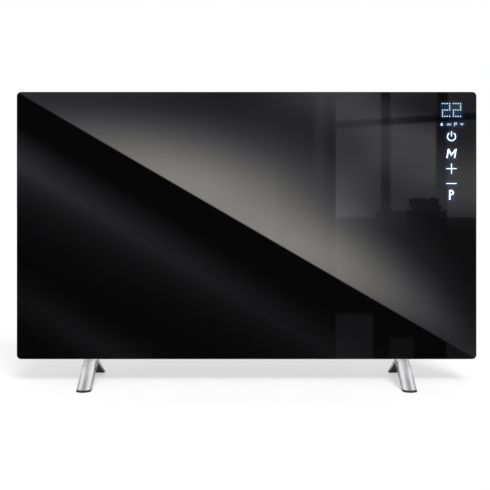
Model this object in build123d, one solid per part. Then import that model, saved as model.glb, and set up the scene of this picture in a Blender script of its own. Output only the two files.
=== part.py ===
from build123d import *
import math
import os

# An infrared panel heater: a black glass panel on a shallow steel case, standing on two
# inverted-V feet. X runs to the right as seen from the front, Y to the back and Z up. The origin
# is on the floor, midway between the feet and midway along each foot. Sizes are in millimetres.

# Glass panel
GLASS_WIDTH = 860.0
GLASS_HEIGHT = 500.0
GLASS_THICKNESS = 5.0
GLASS_CORNER_RADIUS = 8.0
GLASS_ARRIS = 0.8
GLASS_LIFT = 45.0  # floor to the lower edge
GLASS_FORWARD = 22.0  # glass face ahead of the middle of the feet

# Folded steel case behind the glass
PANEL_THICKNESS = 43.0  # glass face to the back of the case
SHEET = 1.2
CASE_INSET = 5.0  # case edge inside the glass edge, all round
CASE_RIM_GAP = 0.3
CASE_CORNER_RADIUS = 6.0
CASE_BEVEL = 2.4  # folded edge round the back
FIELD_SIDE = 105.0  # case edge to the pressed field, left and right
FIELD_END = 80.0  # and on average above and below
FIELD_DEPTH = 2.0
FIELD_DROP = 12.0  # field centre below the panel centre
FIELD_CORNER_RADIUS = 22.0
FIELD_SLOPE = 35.0  # draft of the pressed step, degrees

# Convection vents
VENT_LENGTH = 58.0
VENT_WIDTH = 5.0
VENT_PITCH = 78.0
VENT_SIDE = 70.0  # least distance from the case's side to a row
VENT_ROW_PITCH = 14.0
VENT_ROW_MARGIN = 20.0  # case edge to the outer row
WALL_VENT_Y = 8.0

# Keyholes for hanging the panel without its feet
KEYHOLE_SPACING = 500.0
KEYHOLE_ENTRY_RADIUS = 5.0
KEYHOLE_SLOT_WIDTH = 5.0
KEYHOLE_SLOT_RISE = 11.0
KEYHOLE_DROP = 66.0  # entry below the top of the case

# Bonded steel ring that carries the glass
BEAD_THICKNESS = 1.5
BEAD_WIDTH = 7.0
BEAD_INSET = 1.5
CARRIER_CLEARANCE = 0.3
CARRIER_FLANGE = 12.0
CARRIER_DEPTH = 12.0
CARRIER_CORNER_CROP = 3.2

# Heating laminate, reflector and insulation, from the glass backwards
LAMINATE_SIDE = 35.0  # glass edge to the laminate on the left
LAMINATE_END = 30.0  # and above and below
LAMINATE_SHIELD_GAP = 8.0
MICA_THICKNESS = 0.6
ELEMENT_THICKNESS = 0.4
ELEMENT_MARGIN = 5.0
ELEMENT_STRIPS = 10
ELEMENT_GAP = 6.0
ELEMENT_TURN = 34.0  # width of the foil left at each turn
TERMINAL_WIDTH = 10.0
TERMINAL_LENGTH = 12.0
TERMINAL_THICKNESS = 0.8
TERMINAL_RISE = 15.0
REFLECTOR_THICKNESS = 0.5
INSULATION_THICKNESS = 12.0
INSULATION_MARGIN = 2.0

# Straps that hold the stack in its carrier
STRAP_COUNT = 3
STRAP_INSET = 95.0  # end of the laminate to the middle of an outer strap
STRAP_WIDTH = 30.0
STRAP_CLEARANCE = 0.8
CUTOUT_RADIUS = 8.0
CUTOUT_HEIGHT = 9.0
CUTOUT_FLANGE = 26.0
CUTOUT_FLANGE_WIDTH = 12.0
CUTOUT_FLANGE_THICKNESS = 1.0
CUTOUT_BLADE_WIDTH = 4.8
CUTOUT_BLADE_LENGTH = 6.0
CUTOUT_PITCH = 200.0

# Wall between the hot zone and the controls
SHIELD_INSET = 97.0  # from the glass's right-hand edge
SHIELD_FOOT = 12.0
SHIELD_RISE = 24.0
SHIELD_END_GAP = 3.0
SHIELD_NOTCH_RADIUS = 4.0

# Control tray and its boards
CONTROL_INSET = 46.0  # middle of the lit column, from the glass's right-hand edge
TRAY_SHIELD_GAP = 7.0
TRAY_SIDE = 8.0  # case to tray on the right
TRAY_FOOT = 50.0  # and below
TRAY_HEAD = 10.0  # and above
TRAY_WALL = 2.0
TRAY_SETBACK = 10.0  # glass to the tray floor
BOARD_THICKNESS = 1.6
DISPLAY_SETBACK = 5.0  # glass to the display board
DISPLAY_WIDTH = 50.0
DISPLAY_DROP = 19.0  # top of the board below the top of the glass
DISPLAY_LENGTH = 193.0
DISPLAY_HOLE_INSET = 4.0
POST_RADIUS = 2.6
LED_FACE_GAP = 0.2
LED_WIDTH = 43.0
LED_HEIGHT = 31.0
DIGIT_DROP = 34.0  # digit middle below the top of the glass
DIGIT_PITCH = 20.2
DIGIT_WIDTH = 15.0
DIGIT_HEIGHT = 25.0
DIGIT_STROKE = 2.2
DIGIT_GAP = 0.5  # between neighbouring bars
DIGIT_RECESS = 0.5
ICON_DROP = 61.4
ICON_SHIFTS = (-18.0, -5.0, 7.0, 20.0)  # from the middle of the column
ICON_GUIDE_WIDTH = 47.0
ICON_GUIDE_HEIGHT = 9.0
ICON_WELL = 5.0
TOUCH_DROPS = (83.9, 114.8, 143.9, 171.8, 193.0)
TOUCH_PAD = 9.0
POWER_BOARD_WIDTH = 66.0
POWER_BOARD_LENGTH = 166.0
POWER_BOARD_LIFT = 42.0  # above the bottom of the tray
POWER_BOARD_STANDOFF = 4.0

# Parts on the boards. A size is width, depth and height; a place is across from the middle of the
# lit column and up from the lower edge of the board.
RELAY_SIZE = (18.0, 15.0, 28.0)
RELAY_PLACE = (-18.0, 144.0)
RELAY_EDGE = 1.0
TRANSFORMER_SIZE = (22.0, 14.0, 20.0)
TRANSFORMER_PLACE = (16.0, 110.0)
COIL_SIZE = (15.0, 11.0, 24.0)
CAN_CAPACITOR_RADIUS = 5.0
CAN_CAPACITOR_LENGTH = 14.0
CAN_CAPACITOR_PLACE = (-8.0, 104.0)
BOX_CAPACITOR_SIZE = (18.0, 13.0, 9.0)
BOX_CAPACITOR_PLACE = (16.0, 80.0)
FUSE_RADIUS = 2.6
FUSE_LENGTH = 20.0
FUSE_PLACE = (-22.0, 84.0)
FUSE_CLIP = 5.0
BLOCK_WAYS = 5
BLOCK_PITCH = 9.0
BLOCK_DEPTH = 12.0
BLOCK_HEIGHT = 14.0
BLOCK_LIFT = 18.0
BLOCK_WINDOW = 4.4
RADIO_SIZE = (16.0, 2.4, 24.0)
RADIO_PLACE = (0.0, 107.0)
RADIO_STEP = 0.8
SENSOR_SHIFT = -32.0
SENSOR_SETBACK = 17.0  # forward of the back of the case
SENSOR_SIZE = (10.0, 8.0, 12.0)
SENSOR_BEAD_RADIUS = 1.8
EARTH_PLACE = (-39.0, 18.0)  # up from the bottom of the case
EARTH_RADIUS = 2.0
EARTH_LENGTH = 10.0
EARTH_NUT_FLATS = 7.0
EARTH_NUT = 3.2

# Ribbon cable between the boards
RIBBON_WIDTH = 14.0
RIBBON_THICKNESS = 0.8
RIBBON_HEAD = 8.0  # length held on each board
RIBBON_PLUG = 2.2  # plug height off the power board
RIBBON_SHIFT = 4.0  # from the middle of the lit column, beside the relay

# Tip-over cut-off
TILT_SHIFT = -4.0  # from the middle of the lit column
TILT_LIFT = 64.0  # pivot above the power board
TILT_SETBACK = 13.0  # pivot behind the tray
TILT_PIN_RADIUS = 1.25
TILT_RUNNING = 0.05
TILT_HUB_RADIUS = 3.0
TILT_HUB_WIDTH = 8.0
TILT_ARM = 15.0
TILT_ARM_WIDTH = 3.0
TILT_BOB_RADIUS = 3.5
TILT_VANE = 5.0
TILT_VANE_WIDTH = 4.0
TILT_VANE_THICKNESS = 1.2
TILT_CHEEK = 1.5
TILT_SIDE_GAP = 0.6
TILT_BRACKET_FRONT = 13.0  # cheek depth behind its base
GATE_ARM = 3.0
GATE_SLOT = 3.2
GATE_BOB_GAP = 1.0

# Mains rocker in the right-hand wall
SWITCH_SETBACK = 16.0  # behind the back of the case, measured forwards to its middle
SWITCH_LIFT = 55.0  # above the bottom of the case
ROCKER_TILT = 10.0  # each way from level, degrees
ROCKER_RADIUS = 8.25
ROCKER_CROWN = 3.5  # pivot to the middle of the face
ROCKER_SKIRT = 2.0
ROCKER_WIDTH = 10.4
ROCKER_RECESS = 0.6
ROCKER_GAP = 0.3
TRUNNION_RADIUS = 1.25
TRUNNION_RUNNING = 0.05
TRUNNION_REACH = 0.7
SWITCH_WALL = 1.0
SWITCH_DEPTH = 17.5
SWITCH_FLOOR_GAP = 1.6
BEZEL_THICKNESS = 1.5
BEZEL_MARGIN = 1.2
CUTOUT_CLEARANCE = 0.1
LATCH_CATCH = 1.4
LATCH_LENGTH = 5.0
TAB_WIDTH = 6.3
TAB_THICKNESS = 0.8
TAB_LENGTH = 8.0

# Cord inlet in the back
GLAND_SHIFT = -12.0  # from the middle of the lit column
GLAND_LIFT = 28.0  # above the bottom of the case
CORD_RADIUS = 3.75
GLAND_THREAD_RADIUS = 6.0
GLAND_HOLE_CLEARANCE = 0.2
GLAND_FLANGE_RADIUS = 9.0
GLAND_FLANGE = 3.0
GLAND_NOSE_RADIUS = 7.4
GLAND_NOSE_DRAFT = 12.0  # degrees
GLAND_NOSE = 9.0
GLAND_INSIDE = 9.0
GLAND_NUT = 4.5
GLAND_NUT_FLATS = 16.0
NUT_CLEARANCE = 0.1

# Inverted-V feet
FOOT_SPAN = 210.0  # between the outer edges of a foot, at the floor
APEX_HEIGHT = 43.8  # where those edges would meet
LEG_INSET = 136.5  # foot's middle from the end of the glass
LIMB_WIDTH = 26.0
LIMB_EDGE = 7.0
LIMB_CROWN = 3.2
LIMB_EDGE_RADIUS = 1.2
UNDERSIDE_RADIUS = 25.0
PAD_THICKNESS = 3.0
NECK_WIDTH = 25.0
NECK_FLARE = 4.0
FLANGE_WIDTH = 74.0
FLANGE_DEPTH = 28.0
FLANGE_THICKNESS = 3.0
FLANGE_CROP = 5.0
FLANGE_SHIFT = 2.0
LEG_SCREW_PITCH = 52.0
LEG_SCREW_INSET = 15.0  # screw line forward of the back of the case
LEG_SCREW_RADIUS = 2.4
LEG_SCREW_FLATS = 8.0
LEG_SCREW_HEAD = 2.8
LEG_SCREW_LENGTH = 10.0
BRACKET_THICKNESS = 3.0
BRACKET_DEPTH = 17.0
SCREW_CLEARANCE = 0.3
TAPPED_CLEARANCE = 0.05

# Case screws into the carrier
CASE_SCREW_INSET = 230.0  # from the end of the glass
CASE_SCREW_RADIUS = 1.8
CASE_SCREW_FLATS = 6.5
CASE_SCREW_HEAD = 1.9
CASE_SCREW_LENGTH = 7.0

# Levels that follow from the sizes above
GLASS_FRONT_Y = -GLASS_FORWARD
GLASS_BACK_Y = GLASS_FRONT_Y + GLASS_THICKNESS
GLASS_TOP_Z = GLASS_LIFT + GLASS_HEIGHT
PANEL_Z = GLASS_LIFT + GLASS_HEIGHT / 2
CASE_WIDTH = GLASS_WIDTH - 2 * CASE_INSET
CASE_HEIGHT = GLASS_HEIGHT - 2 * CASE_INSET
CASE_FRONT_Y = GLASS_BACK_Y + CASE_RIM_GAP
CASE_BACK_Y = GLASS_FRONT_Y + PANEL_THICKNESS
CASE_INNER_Y = CASE_BACK_Y - SHEET
CASE_BOTTOM_Z = GLASS_LIFT + CASE_INSET
CASE_TOP_Z = GLASS_TOP_Z - CASE_INSET
CARRIER_WIDTH = CASE_WIDTH - 2 * (SHEET + CARRIER_CLEARANCE)
CARRIER_HEIGHT = CASE_HEIGHT - 2 * (SHEET + CARRIER_CLEARANCE)
CARRIER_FRONT_Y = GLASS_BACK_Y + BEAD_THICKNESS
CARRIER_SEAT_Y = CARRIER_FRONT_Y + SHEET
CASE_SCREW_Y = CARRIER_FRONT_Y + CARRIER_DEPTH * 0.55
CASE_SCREW_XS = [side * (GLASS_WIDTH / 2 - CASE_SCREW_INSET) for side in (-1, 1)]
CONTROL_X = GLASS_WIDTH / 2 - CONTROL_INSET
SHIELD_X = GLASS_WIDTH / 2 - SHIELD_INSET
LAMINATE_LEFT = LAMINATE_SIDE - GLASS_WIDTH / 2
LAMINATE_WIDTH = SHIELD_X - LAMINATE_SHIELD_GAP - LAMINATE_LEFT
LAMINATE_SHIFT = LAMINATE_LEFT + LAMINATE_WIDTH / 2
LAMINATE_HEIGHT = GLASS_HEIGHT - 2 * LAMINATE_END
ELEMENT_Y = GLASS_BACK_Y + MICA_THICKNESS
MICA_BACK_Y = ELEMENT_Y + ELEMENT_THICKNESS
REFLECTOR_Y = MICA_BACK_Y + MICA_THICKNESS
INSULATION_Y = REFLECTOR_Y + REFLECTOR_THICKNESS
STRAP_Y = INSULATION_Y + INSULATION_THICKNESS
STRAP_BACK_Y = STRAP_Y + SHEET
STRAP_PITCH = (LAMINATE_WIDTH - 2 * STRAP_INSET) / (STRAP_COUNT - 1)
STRAP_XS = [LAMINATE_LEFT + STRAP_INSET + index * STRAP_PITCH for index in range(STRAP_COUNT)]
DISPLAY_Y = GLASS_BACK_Y + DISPLAY_SETBACK
DISPLAY_TOP = GLASS_TOP_Z - DISPLAY_DROP
DISPLAY_BOTTOM = DISPLAY_TOP - DISPLAY_LENGTH
ICON_XS = [CONTROL_X + shift for shift in ICON_SHIFTS]
TRAY_LEFT = SHIELD_X + TRAY_SHIELD_GAP
TRAY_RIGHT = CASE_WIDTH / 2 - TRAY_SIDE
TRAY_BOTTOM = CASE_BOTTOM_Z + TRAY_FOOT
TRAY_TOP = CASE_TOP_Z - TRAY_HEAD
TRAY_FLOOR_Y = GLASS_BACK_Y + TRAY_SETBACK
TRAY_BACK_Y = TRAY_FLOOR_Y + TRAY_WALL
POWER_BOARD_Y = TRAY_BACK_Y + POWER_BOARD_STANDOFF
POWER_PARTS_Y = POWER_BOARD_Y + BOARD_THICKNESS
POWER_BOARD_BOTTOM = TRAY_BOTTOM + POWER_BOARD_LIFT
POWER_BOARD_TOP = POWER_BOARD_BOTTOM + POWER_BOARD_LENGTH
TILT_X = CONTROL_X + TILT_SHIFT
TILT_PIVOT_Y = TRAY_BACK_Y + TILT_SETBACK
TILT_PIVOT_Z = POWER_BOARD_TOP + TILT_LIFT
SWITCH_Y = CASE_BACK_Y - SWITCH_SETBACK
SWITCH_Z = CASE_BOTTOM_Z + SWITCH_LIFT
GLAND_X = CONTROL_X + GLAND_SHIFT
GLAND_Z = CASE_BOTTOM_Z + GLAND_LIFT
ROCKER_X = CASE_WIDTH / 2 + BEZEL_THICKNESS - ROCKER_RECESS - ROCKER_CROWN
ROCKER_BAY = ROCKER_RADIUS + ROCKER_GAP
SWITCH_HALF_LENGTH = ROCKER_BAY + SWITCH_WALL
SWITCH_HALF_WIDTH = ROCKER_WIDTH / 2 + ROCKER_GAP + SWITCH_WALL
LEG_X = GLASS_WIDTH / 2 - LEG_INSET
LEG_SLOPE = math.atan2(APEX_HEIGHT, FOOT_SPAN / 2)
LEG_SCREW_Y = CASE_BACK_Y - LEG_SCREW_INSET
LEG_SCREW_XS = [side * LEG_X + offset * LEG_SCREW_PITCH / 2 for side in (-1, 1) for offset in (-1, 1)]


# Building blocks
def block(xs, ys, zs):
    """A plain rectangular solid between the given pairs of levels."""
    size = (xs[1] - xs[0], ys[1] - ys[0], zs[1] - zs[0])
    middle = (sum(xs) / 2, sum(ys) / 2, sum(zs) / 2)
    return Pos(*middle) * Box(*size)


def slab(sketch, front_y, thickness):
    """A sheet parallel to the glass, from front_y backwards; the sketch lies in X and Z."""
    return extrude(Plane.XZ.offset(-front_y) * sketch, -thickness)


def rounded_slab(width, height, radius, front_y, thickness):
    """A rounded sheet about the middle of the panel."""
    return slab(Pos(0, PANEL_Z) * RectangleRounded(width, height, radius), front_y, thickness)


def rod_x(radius, xs, y, z):
    """A round bar along X."""
    return Plane(origin=(xs[0], y, z), z_dir=(1, 0, 0)) * extrude(Circle(radius), xs[1] - xs[0])


def rod_y(radius, x, ys, z):
    """A round bar along Y."""
    return Plane(origin=(x, ys[0], z), z_dir=(0, 1, 0)) * extrude(Circle(radius), ys[1] - ys[0])


def rod_z(radius, x, y, zs):
    """A round bar along Z."""
    return Pos(x, y, zs[0]) * extrude(Circle(radius), zs[1] - zs[0])


def folded_strip(points, thickness, plane, width):
    """Sheet folded along a line of points, with the sheet on the line's left, centred on plane."""
    outline = offset(Polyline(*points), thickness, side=Side.LEFT, closed=True, kind=Kind.INTERSECTION)
    return extrude(plane * make_face(outline), width / 2, both=True)


# Glass and the steel ring bonded behind it
def front_glass():
    glass = rounded_slab(
        GLASS_WIDTH, GLASS_HEIGHT, GLASS_CORNER_RADIUS, GLASS_FRONT_Y, GLASS_THICKNESS
    )
    faces = glass.faces().sort_by(Axis.Y)
    return chamfer(faces[0].edges() + faces[-1].edges(), GLASS_ARRIS)


def carrier_outline(inset):
    """The carrier's outline, its corners cropped for the bend of the case, drawn in by inset."""
    outline = Rectangle(CARRIER_WIDTH - 2 * inset, CARRIER_HEIGHT - 2 * inset)
    crop = CARRIER_CORNER_CROP - (2 - math.sqrt(2)) * inset
    return Pos(0, PANEL_Z) * chamfer(outline.vertices(), crop)


def carrier_window(inset):
    window = Rectangle(CARRIER_WIDTH - 2 * inset, CARRIER_HEIGHT - 2 * inset)
    return Pos(0, PANEL_Z) * window


def glass_bead():
    bead = carrier_outline(BEAD_INSET) - carrier_window(BEAD_INSET + BEAD_WIDTH)
    return slab(bead, GLASS_BACK_Y, BEAD_THICKNESS)


def glass_carrier():
    ring = slab(carrier_outline(0), CARRIER_FRONT_Y, CARRIER_DEPTH)
    ring -= slab(carrier_outline(SHEET), CARRIER_SEAT_Y, CARRIER_DEPTH)
    ring -= slab(carrier_window(CARRIER_FLANGE), CARRIER_FRONT_Y, CARRIER_DEPTH)
    return ring - case_screw_holes(CASE_SCREW_RADIUS + TAPPED_CLEARANCE)


# Case with its vents, keyholes and openings
def vent_row():
    """One row of oblong vents about the sketch origin."""
    slot = Rectangle(VENT_LENGTH, VENT_WIDTH)
    columns = int((CASE_WIDTH - 2 * VENT_SIDE) / VENT_PITCH)
    return [Pos((index - (columns - 1) / 2) * VENT_PITCH, 0) * slot for index in range(columns)]


def back_vents():
    """Two rows near the top and two near the bottom of the back."""
    top = CASE_TOP_Z - VENT_ROW_MARGIN
    bottom = CASE_BOTTOM_Z + VENT_ROW_MARGIN
    rows = (top, top - VENT_ROW_PITCH, bottom, bottom + VENT_ROW_PITCH)
    slots = [Pos(0, row) * slot for row in rows for slot in vent_row()]
    return slab(Sketch() + slots, CASE_INNER_Y - FIELD_DEPTH, 2 * (FIELD_DEPTH + SHEET))


def wall_vents(z, keep_clear):
    """A row through the top or bottom wall, leaving out vents over the feet's flanges."""
    slots = [
        Pos(0, WALL_VENT_Y) * slot
        for slot in vent_row()
        if abs(abs(slot.center().X) - LEG_X) > keep_clear
    ]
    return extrude(Plane.XY.offset(z - 2 * SHEET) * (Sketch() + slots), 4 * SHEET)


def keyholes():
    """Round entries with a narrow slot rising from each."""
    entry = Circle(KEYHOLE_ENTRY_RADIUS)
    slot = Pos(0, KEYHOLE_SLOT_RISE / 2) * Rectangle(KEYHOLE_SLOT_WIDTH, KEYHOLE_SLOT_RISE)
    keyhole = entry + slot + Pos(0, KEYHOLE_SLOT_RISE) * Circle(KEYHOLE_SLOT_WIDTH / 2)
    z = CASE_TOP_Z - KEYHOLE_DROP
    pair = [Pos(side * KEYHOLE_SPACING / 2, z) * keyhole for side in (-1, 1)]
    return slab(Sketch() + pair, CASE_INNER_Y - SHEET, 3 * SHEET)


def pressed_field(grow, back_y):
    """The shallow tapered step pressed into the back, from back_y forwards."""
    outline = RectangleRounded(
        CASE_WIDTH - 2 * (FIELD_SIDE - grow),
        CASE_HEIGHT - 2 * (FIELD_END - grow),
        FIELD_CORNER_RADIUS + grow,
    )
    plane = Plane.XZ.offset(-back_y) * Pos(0, PANEL_Z - FIELD_DROP)
    return extrude(plane * outline, FIELD_DEPTH, taper=FIELD_SLOPE)


def rear_case():
    pan = rounded_slab(
        CASE_WIDTH, CASE_HEIGHT, CASE_CORNER_RADIUS, CASE_FRONT_Y, CASE_BACK_Y - CASE_FRONT_Y
    )
    pan = chamfer(pan.faces().sort_by(Axis.Y)[-1].edges(), CASE_BEVEL)
    hollow = rounded_slab(
        CASE_WIDTH - 2 * SHEET,
        CASE_HEIGHT - 2 * SHEET,
        CASE_CORNER_RADIUS - SHEET,
        CASE_FRONT_Y,
        CASE_INNER_Y - CASE_FRONT_Y,
    )
    pan -= chamfer(hollow.faces().sort_by(Axis.Y)[-1].edges(), CASE_BEVEL - SHEET / 2)
    pan += pressed_field(SHEET, CASE_INNER_Y)
    pan -= pressed_field(0, CASE_BACK_Y)
    pan -= back_vents()
    pan -= wall_vents(CASE_TOP_Z, -1)
    pan -= wall_vents(CASE_BOTTOM_Z, (FLANGE_WIDTH + VENT_LENGTH) / 2)
    pan -= keyholes()
    pan -= case_screw_holes(CASE_SCREW_RADIUS + SCREW_CLEARANCE)
    pan -= leg_screw_holes(LEG_SCREW_RADIUS + SCREW_CLEARANCE, CASE_BOTTOM_Z - SHEET, 3 * SHEET)
    pan -= rod_y(
        GLAND_THREAD_RADIUS + GLAND_HOLE_CLEARANCE,
        GLAND_X,
        (CASE_INNER_Y - SHEET, CASE_BACK_Y + SHEET),
        GLAND_Z,
    )
    half_width = SWITCH_HALF_WIDTH + CUTOUT_CLEARANCE
    half_length = SWITCH_HALF_LENGTH + CUTOUT_CLEARANCE
    return pan - block(
        (CASE_WIDTH / 2 - 2 * SHEET, CASE_WIDTH / 2 + SHEET),
        (SWITCH_Y - half_width, SWITCH_Y + half_width),
        (SWITCH_Z - half_length, SWITCH_Z + half_length),
    )


# Case screws, a row in the top and the bottom wall
def case_screw_places():
    """The head seats of all case screws, each a plane whose Z points into the case."""
    return [
        Plane(origin=(x, CASE_SCREW_Y, z), z_dir=(0, 0, inward))
        for x in CASE_SCREW_XS
        for z, inward in ((CASE_BOTTOM_Z, 1), (CASE_TOP_Z, -1))
    ]


def case_screw_holes(radius):
    hole = extrude(Circle(radius), CASE_SCREW_LENGTH)
    return [place * hole for place in case_screw_places()]


def case_screws():
    screw = hexagon_screw(CASE_SCREW_RADIUS, CASE_SCREW_LENGTH, CASE_SCREW_FLATS, CASE_SCREW_HEAD)
    return Compound([place * screw for place in case_screw_places()])


def hexagon_screw(radius, length, flats, head):
    """A screw that points up, with its hexagon head below Z = 0."""
    hexagon = RegularPolygon(flats / 2, 6, major_radius=False)
    return extrude(hexagon, -head) + extrude(Circle(radius), length)


# Heating laminate, from the glass backwards
def laminate_sheet(front_y, thickness, grow=0.0):
    sheet = Rectangle(LAMINATE_WIDTH + 2 * grow, LAMINATE_HEIGHT + 2 * grow)
    return slab(Pos(LAMINATE_SHIFT, PANEL_Z) * sheet, front_y, thickness)


def mica_front():
    return laminate_sheet(GLASS_BACK_Y, MICA_THICKNESS)


def mica_back():
    return laminate_sheet(MICA_BACK_Y, MICA_THICKNESS)


def foil_reflector():
    return laminate_sheet(REFLECTOR_Y, REFLECTOR_THICKNESS)


def insulation_board():
    return laminate_sheet(INSULATION_Y, INSULATION_THICKNESS, INSULATION_MARGIN)


def element_size():
    return LAMINATE_WIDTH - 2 * ELEMENT_MARGIN, LAMINATE_HEIGHT - 2 * ELEMENT_MARGIN


def heating_element():
    """One foil strip that runs to and fro, with both ends on the right."""
    width, height = element_size()
    pitch = (height + ELEMENT_GAP) / ELEMENT_STRIPS
    foil = Rectangle(width, height)
    slit = Rectangle(width - ELEMENT_TURN, ELEMENT_GAP)
    for index in range(1, ELEMENT_STRIPS):
        open_side = 1 if index % 2 else -1
        middle_z = index * pitch - ELEMENT_GAP / 2 - height / 2
        foil -= Pos(open_side * ELEMENT_TURN / 2, middle_z) * slit
    tab = Rectangle(TERMINAL_LENGTH, TERMINAL_WIDTH)
    for z in terminal_heights():
        foil += Pos((width + TERMINAL_LENGTH) / 2, z - PANEL_Z) * tab
    return slab(Pos(LAMINATE_SHIFT, PANEL_Z) * foil, ELEMENT_Y, ELEMENT_THICKNESS)


def terminal_heights():
    """Middle of the first and the last strip of foil."""
    height = element_size()[1]
    strip = (height + ELEMENT_GAP) / ELEMENT_STRIPS - ELEMENT_GAP
    return [PANEL_Z + side * (height - strip) / 2 for side in (-1, 1)]


def terminal_x():
    """Outer end of the foil's tabs."""
    return LAMINATE_SHIFT + element_size()[0] / 2 + TERMINAL_LENGTH


def element_terminals():
    """Brass angles riveted behind the foil's tabs, clear of the mica's edge."""
    back = terminal_x()
    seat_y = ELEMENT_Y + ELEMENT_THICKNESS
    points = [
        (back - TERMINAL_LENGTH + ELEMENT_MARGIN + STRAP_CLEARANCE, seat_y),
        (back, seat_y),
        (back, seat_y + TERMINAL_RISE),
    ]
    return Compound(
        [
            folded_strip(points, TERMINAL_THICKNESS, Plane.XY.offset(z), TERMINAL_WIDTH)
            for z in terminal_heights()
        ]
    )


def strap_half_heights():
    """Half the height over the risers and over the feet of a strap."""
    riser = LAMINATE_HEIGHT / 2 + INSULATION_MARGIN + STRAP_CLEARANCE + SHEET
    foot = CARRIER_HEIGHT / 2 - SHEET - STRAP_CLEARANCE
    return riser, foot


def retainer_straps():
    """Joggled straps over the insulation, their feet spot-welded to the carrier's flange."""
    riser, foot = strap_half_heights()
    points = [
        (CARRIER_SEAT_Y, PANEL_Z - foot),
        (CARRIER_SEAT_Y, PANEL_Z - riser),
        (STRAP_Y, PANEL_Z - riser),
        (STRAP_Y, PANEL_Z + riser),
        (CARRIER_SEAT_Y, PANEL_Z + riser),
        (CARRIER_SEAT_Y, PANEL_Z + foot),
    ]
    points = [(y, z) for y, z in reversed(points)]
    return Compound([folded_strip(points, SHEET, Plane.YZ.offset(x), STRAP_WIDTH) for x in STRAP_XS])


def thermal_cutouts():
    """Snap-disc cutouts on the right-hand strap."""
    blade_end = Rectangle(TAB_THICKNESS, CUTOUT_BLADE_WIDTH)
    cutouts = []
    for z in (PANEL_Z - CUTOUT_PITCH / 2, PANEL_Z + CUTOUT_PITCH / 2):
        flange = Pos(STRAP_XS[-1], z) * Rectangle(CUTOUT_FLANGE, CUTOUT_FLANGE_WIDTH)
        can = Pos(STRAP_XS[-1], z) * Circle(CUTOUT_RADIUS)
        cutout = slab(flange, STRAP_BACK_Y, CUTOUT_FLANGE_THICKNESS)
        cutout += slab(can, STRAP_BACK_Y, CUTOUT_HEIGHT)
        for side in (-1, 1):
            blade = Pos(STRAP_XS[-1] + side * CUTOUT_RADIUS / 2, z) * blade_end
            cutout += slab(blade, STRAP_BACK_Y + CUTOUT_HEIGHT, CUTOUT_BLADE_LENGTH)
        cutouts.append(cutout)
    return Compound(cutouts)


# Controls
def heat_shield():
    """An angle along the hot zone, with its foot on the carrier's flanges."""
    half = CARRIER_HEIGHT / 2 - SHEET - SHIELD_END_GAP
    points = [
        (SHIELD_X, CARRIER_SEAT_Y + SHIELD_RISE),
        (SHIELD_X, CARRIER_SEAT_Y),
        (SHIELD_X + SHIELD_FOOT, CARRIER_SEAT_Y),
    ]
    angle = folded_strip(points, SHEET, Plane.XY.offset(PANEL_Z), 2 * half)
    for z in terminal_heights():
        span = (SHIELD_X - SHEET, SHIELD_X + 2 * SHEET)
        angle -= rod_x(SHIELD_NOTCH_RADIUS, span, CARRIER_SEAT_Y + SHIELD_RISE, z)
    return angle


def tray_span(wall):
    """The tray's outline in X and Z, drawn in by wall."""
    size = (TRAY_RIGHT - TRAY_LEFT - 2 * wall, TRAY_TOP - TRAY_BOTTOM - 2 * wall)
    middle = Pos((TRAY_LEFT + TRAY_RIGHT) / 2, (TRAY_BOTTOM + TRAY_TOP) / 2)
    outline = Rectangle(*size)
    return middle * chamfer(outline.vertices(), 2 * TRAY_WALL - wall)


def control_tray():
    tray = slab(tray_span(0), CARRIER_SEAT_Y, TRAY_BACK_Y - CARRIER_SEAT_Y)
    tray -= slab(tray_span(TRAY_WALL), CARRIER_SEAT_Y, TRAY_FLOOR_Y - CARRIER_SEAT_Y)
    shield_foot = ((SHIELD_X, SHIELD_X + SHIELD_FOOT), (CARRIER_SEAT_Y, CARRIER_SEAT_Y + SHEET))
    tray -= block(*shield_foot, (TRAY_BOTTOM, TRAY_TOP))
    slot = Pos(ribbon_x(), ribbon_slot_height()) * Rectangle(1.4 * RIBBON_WIDTH, 2 * POST_RADIUS)
    return tray - slab(slot, TRAY_FLOOR_Y, TRAY_WALL)


def board_posts(width, bottom, top):
    """The four fixing points of a board, near its corners."""
    half = width / 2 - DISPLAY_HOLE_INSET
    zs = (bottom + DISPLAY_HOLE_INSET, top - DISPLAY_HOLE_INSET)
    return [(CONTROL_X + side * half, z) for side in (-1, 1) for z in zs]


def control_board(width, bottom, top, front_y):
    """A rectangular board, clamped on its spacers."""
    return block(
        (CONTROL_X - width / 2, CONTROL_X + width / 2), (front_y, front_y + BOARD_THICKNESS), (bottom, top)
    )


def display_board():
    return control_board(DISPLAY_WIDTH, DISPLAY_BOTTOM, DISPLAY_TOP, DISPLAY_Y)


def power_board():
    return control_board(POWER_BOARD_WIDTH, POWER_BOARD_BOTTOM, POWER_BOARD_TOP, POWER_BOARD_Y)


def posts(width, bottom, top, ys):
    """Hexagonal spacers under a board."""
    hexagon = RegularPolygon(POST_RADIUS, 6, major_radius=False)
    return Compound(
        [slab(Pos(x, z) * hexagon, ys[0], ys[1] - ys[0]) for x, z in board_posts(width, bottom, top)]
    )


def display_standoffs():
    span = (DISPLAY_Y + BOARD_THICKNESS, TRAY_FLOOR_Y)
    return posts(DISPLAY_WIDTH, DISPLAY_BOTTOM, DISPLAY_TOP, span)


def board_standoffs():
    return posts(POWER_BOARD_WIDTH, POWER_BOARD_BOTTOM, POWER_BOARD_TOP, (TRAY_BACK_Y, POWER_BOARD_Y))


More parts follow.
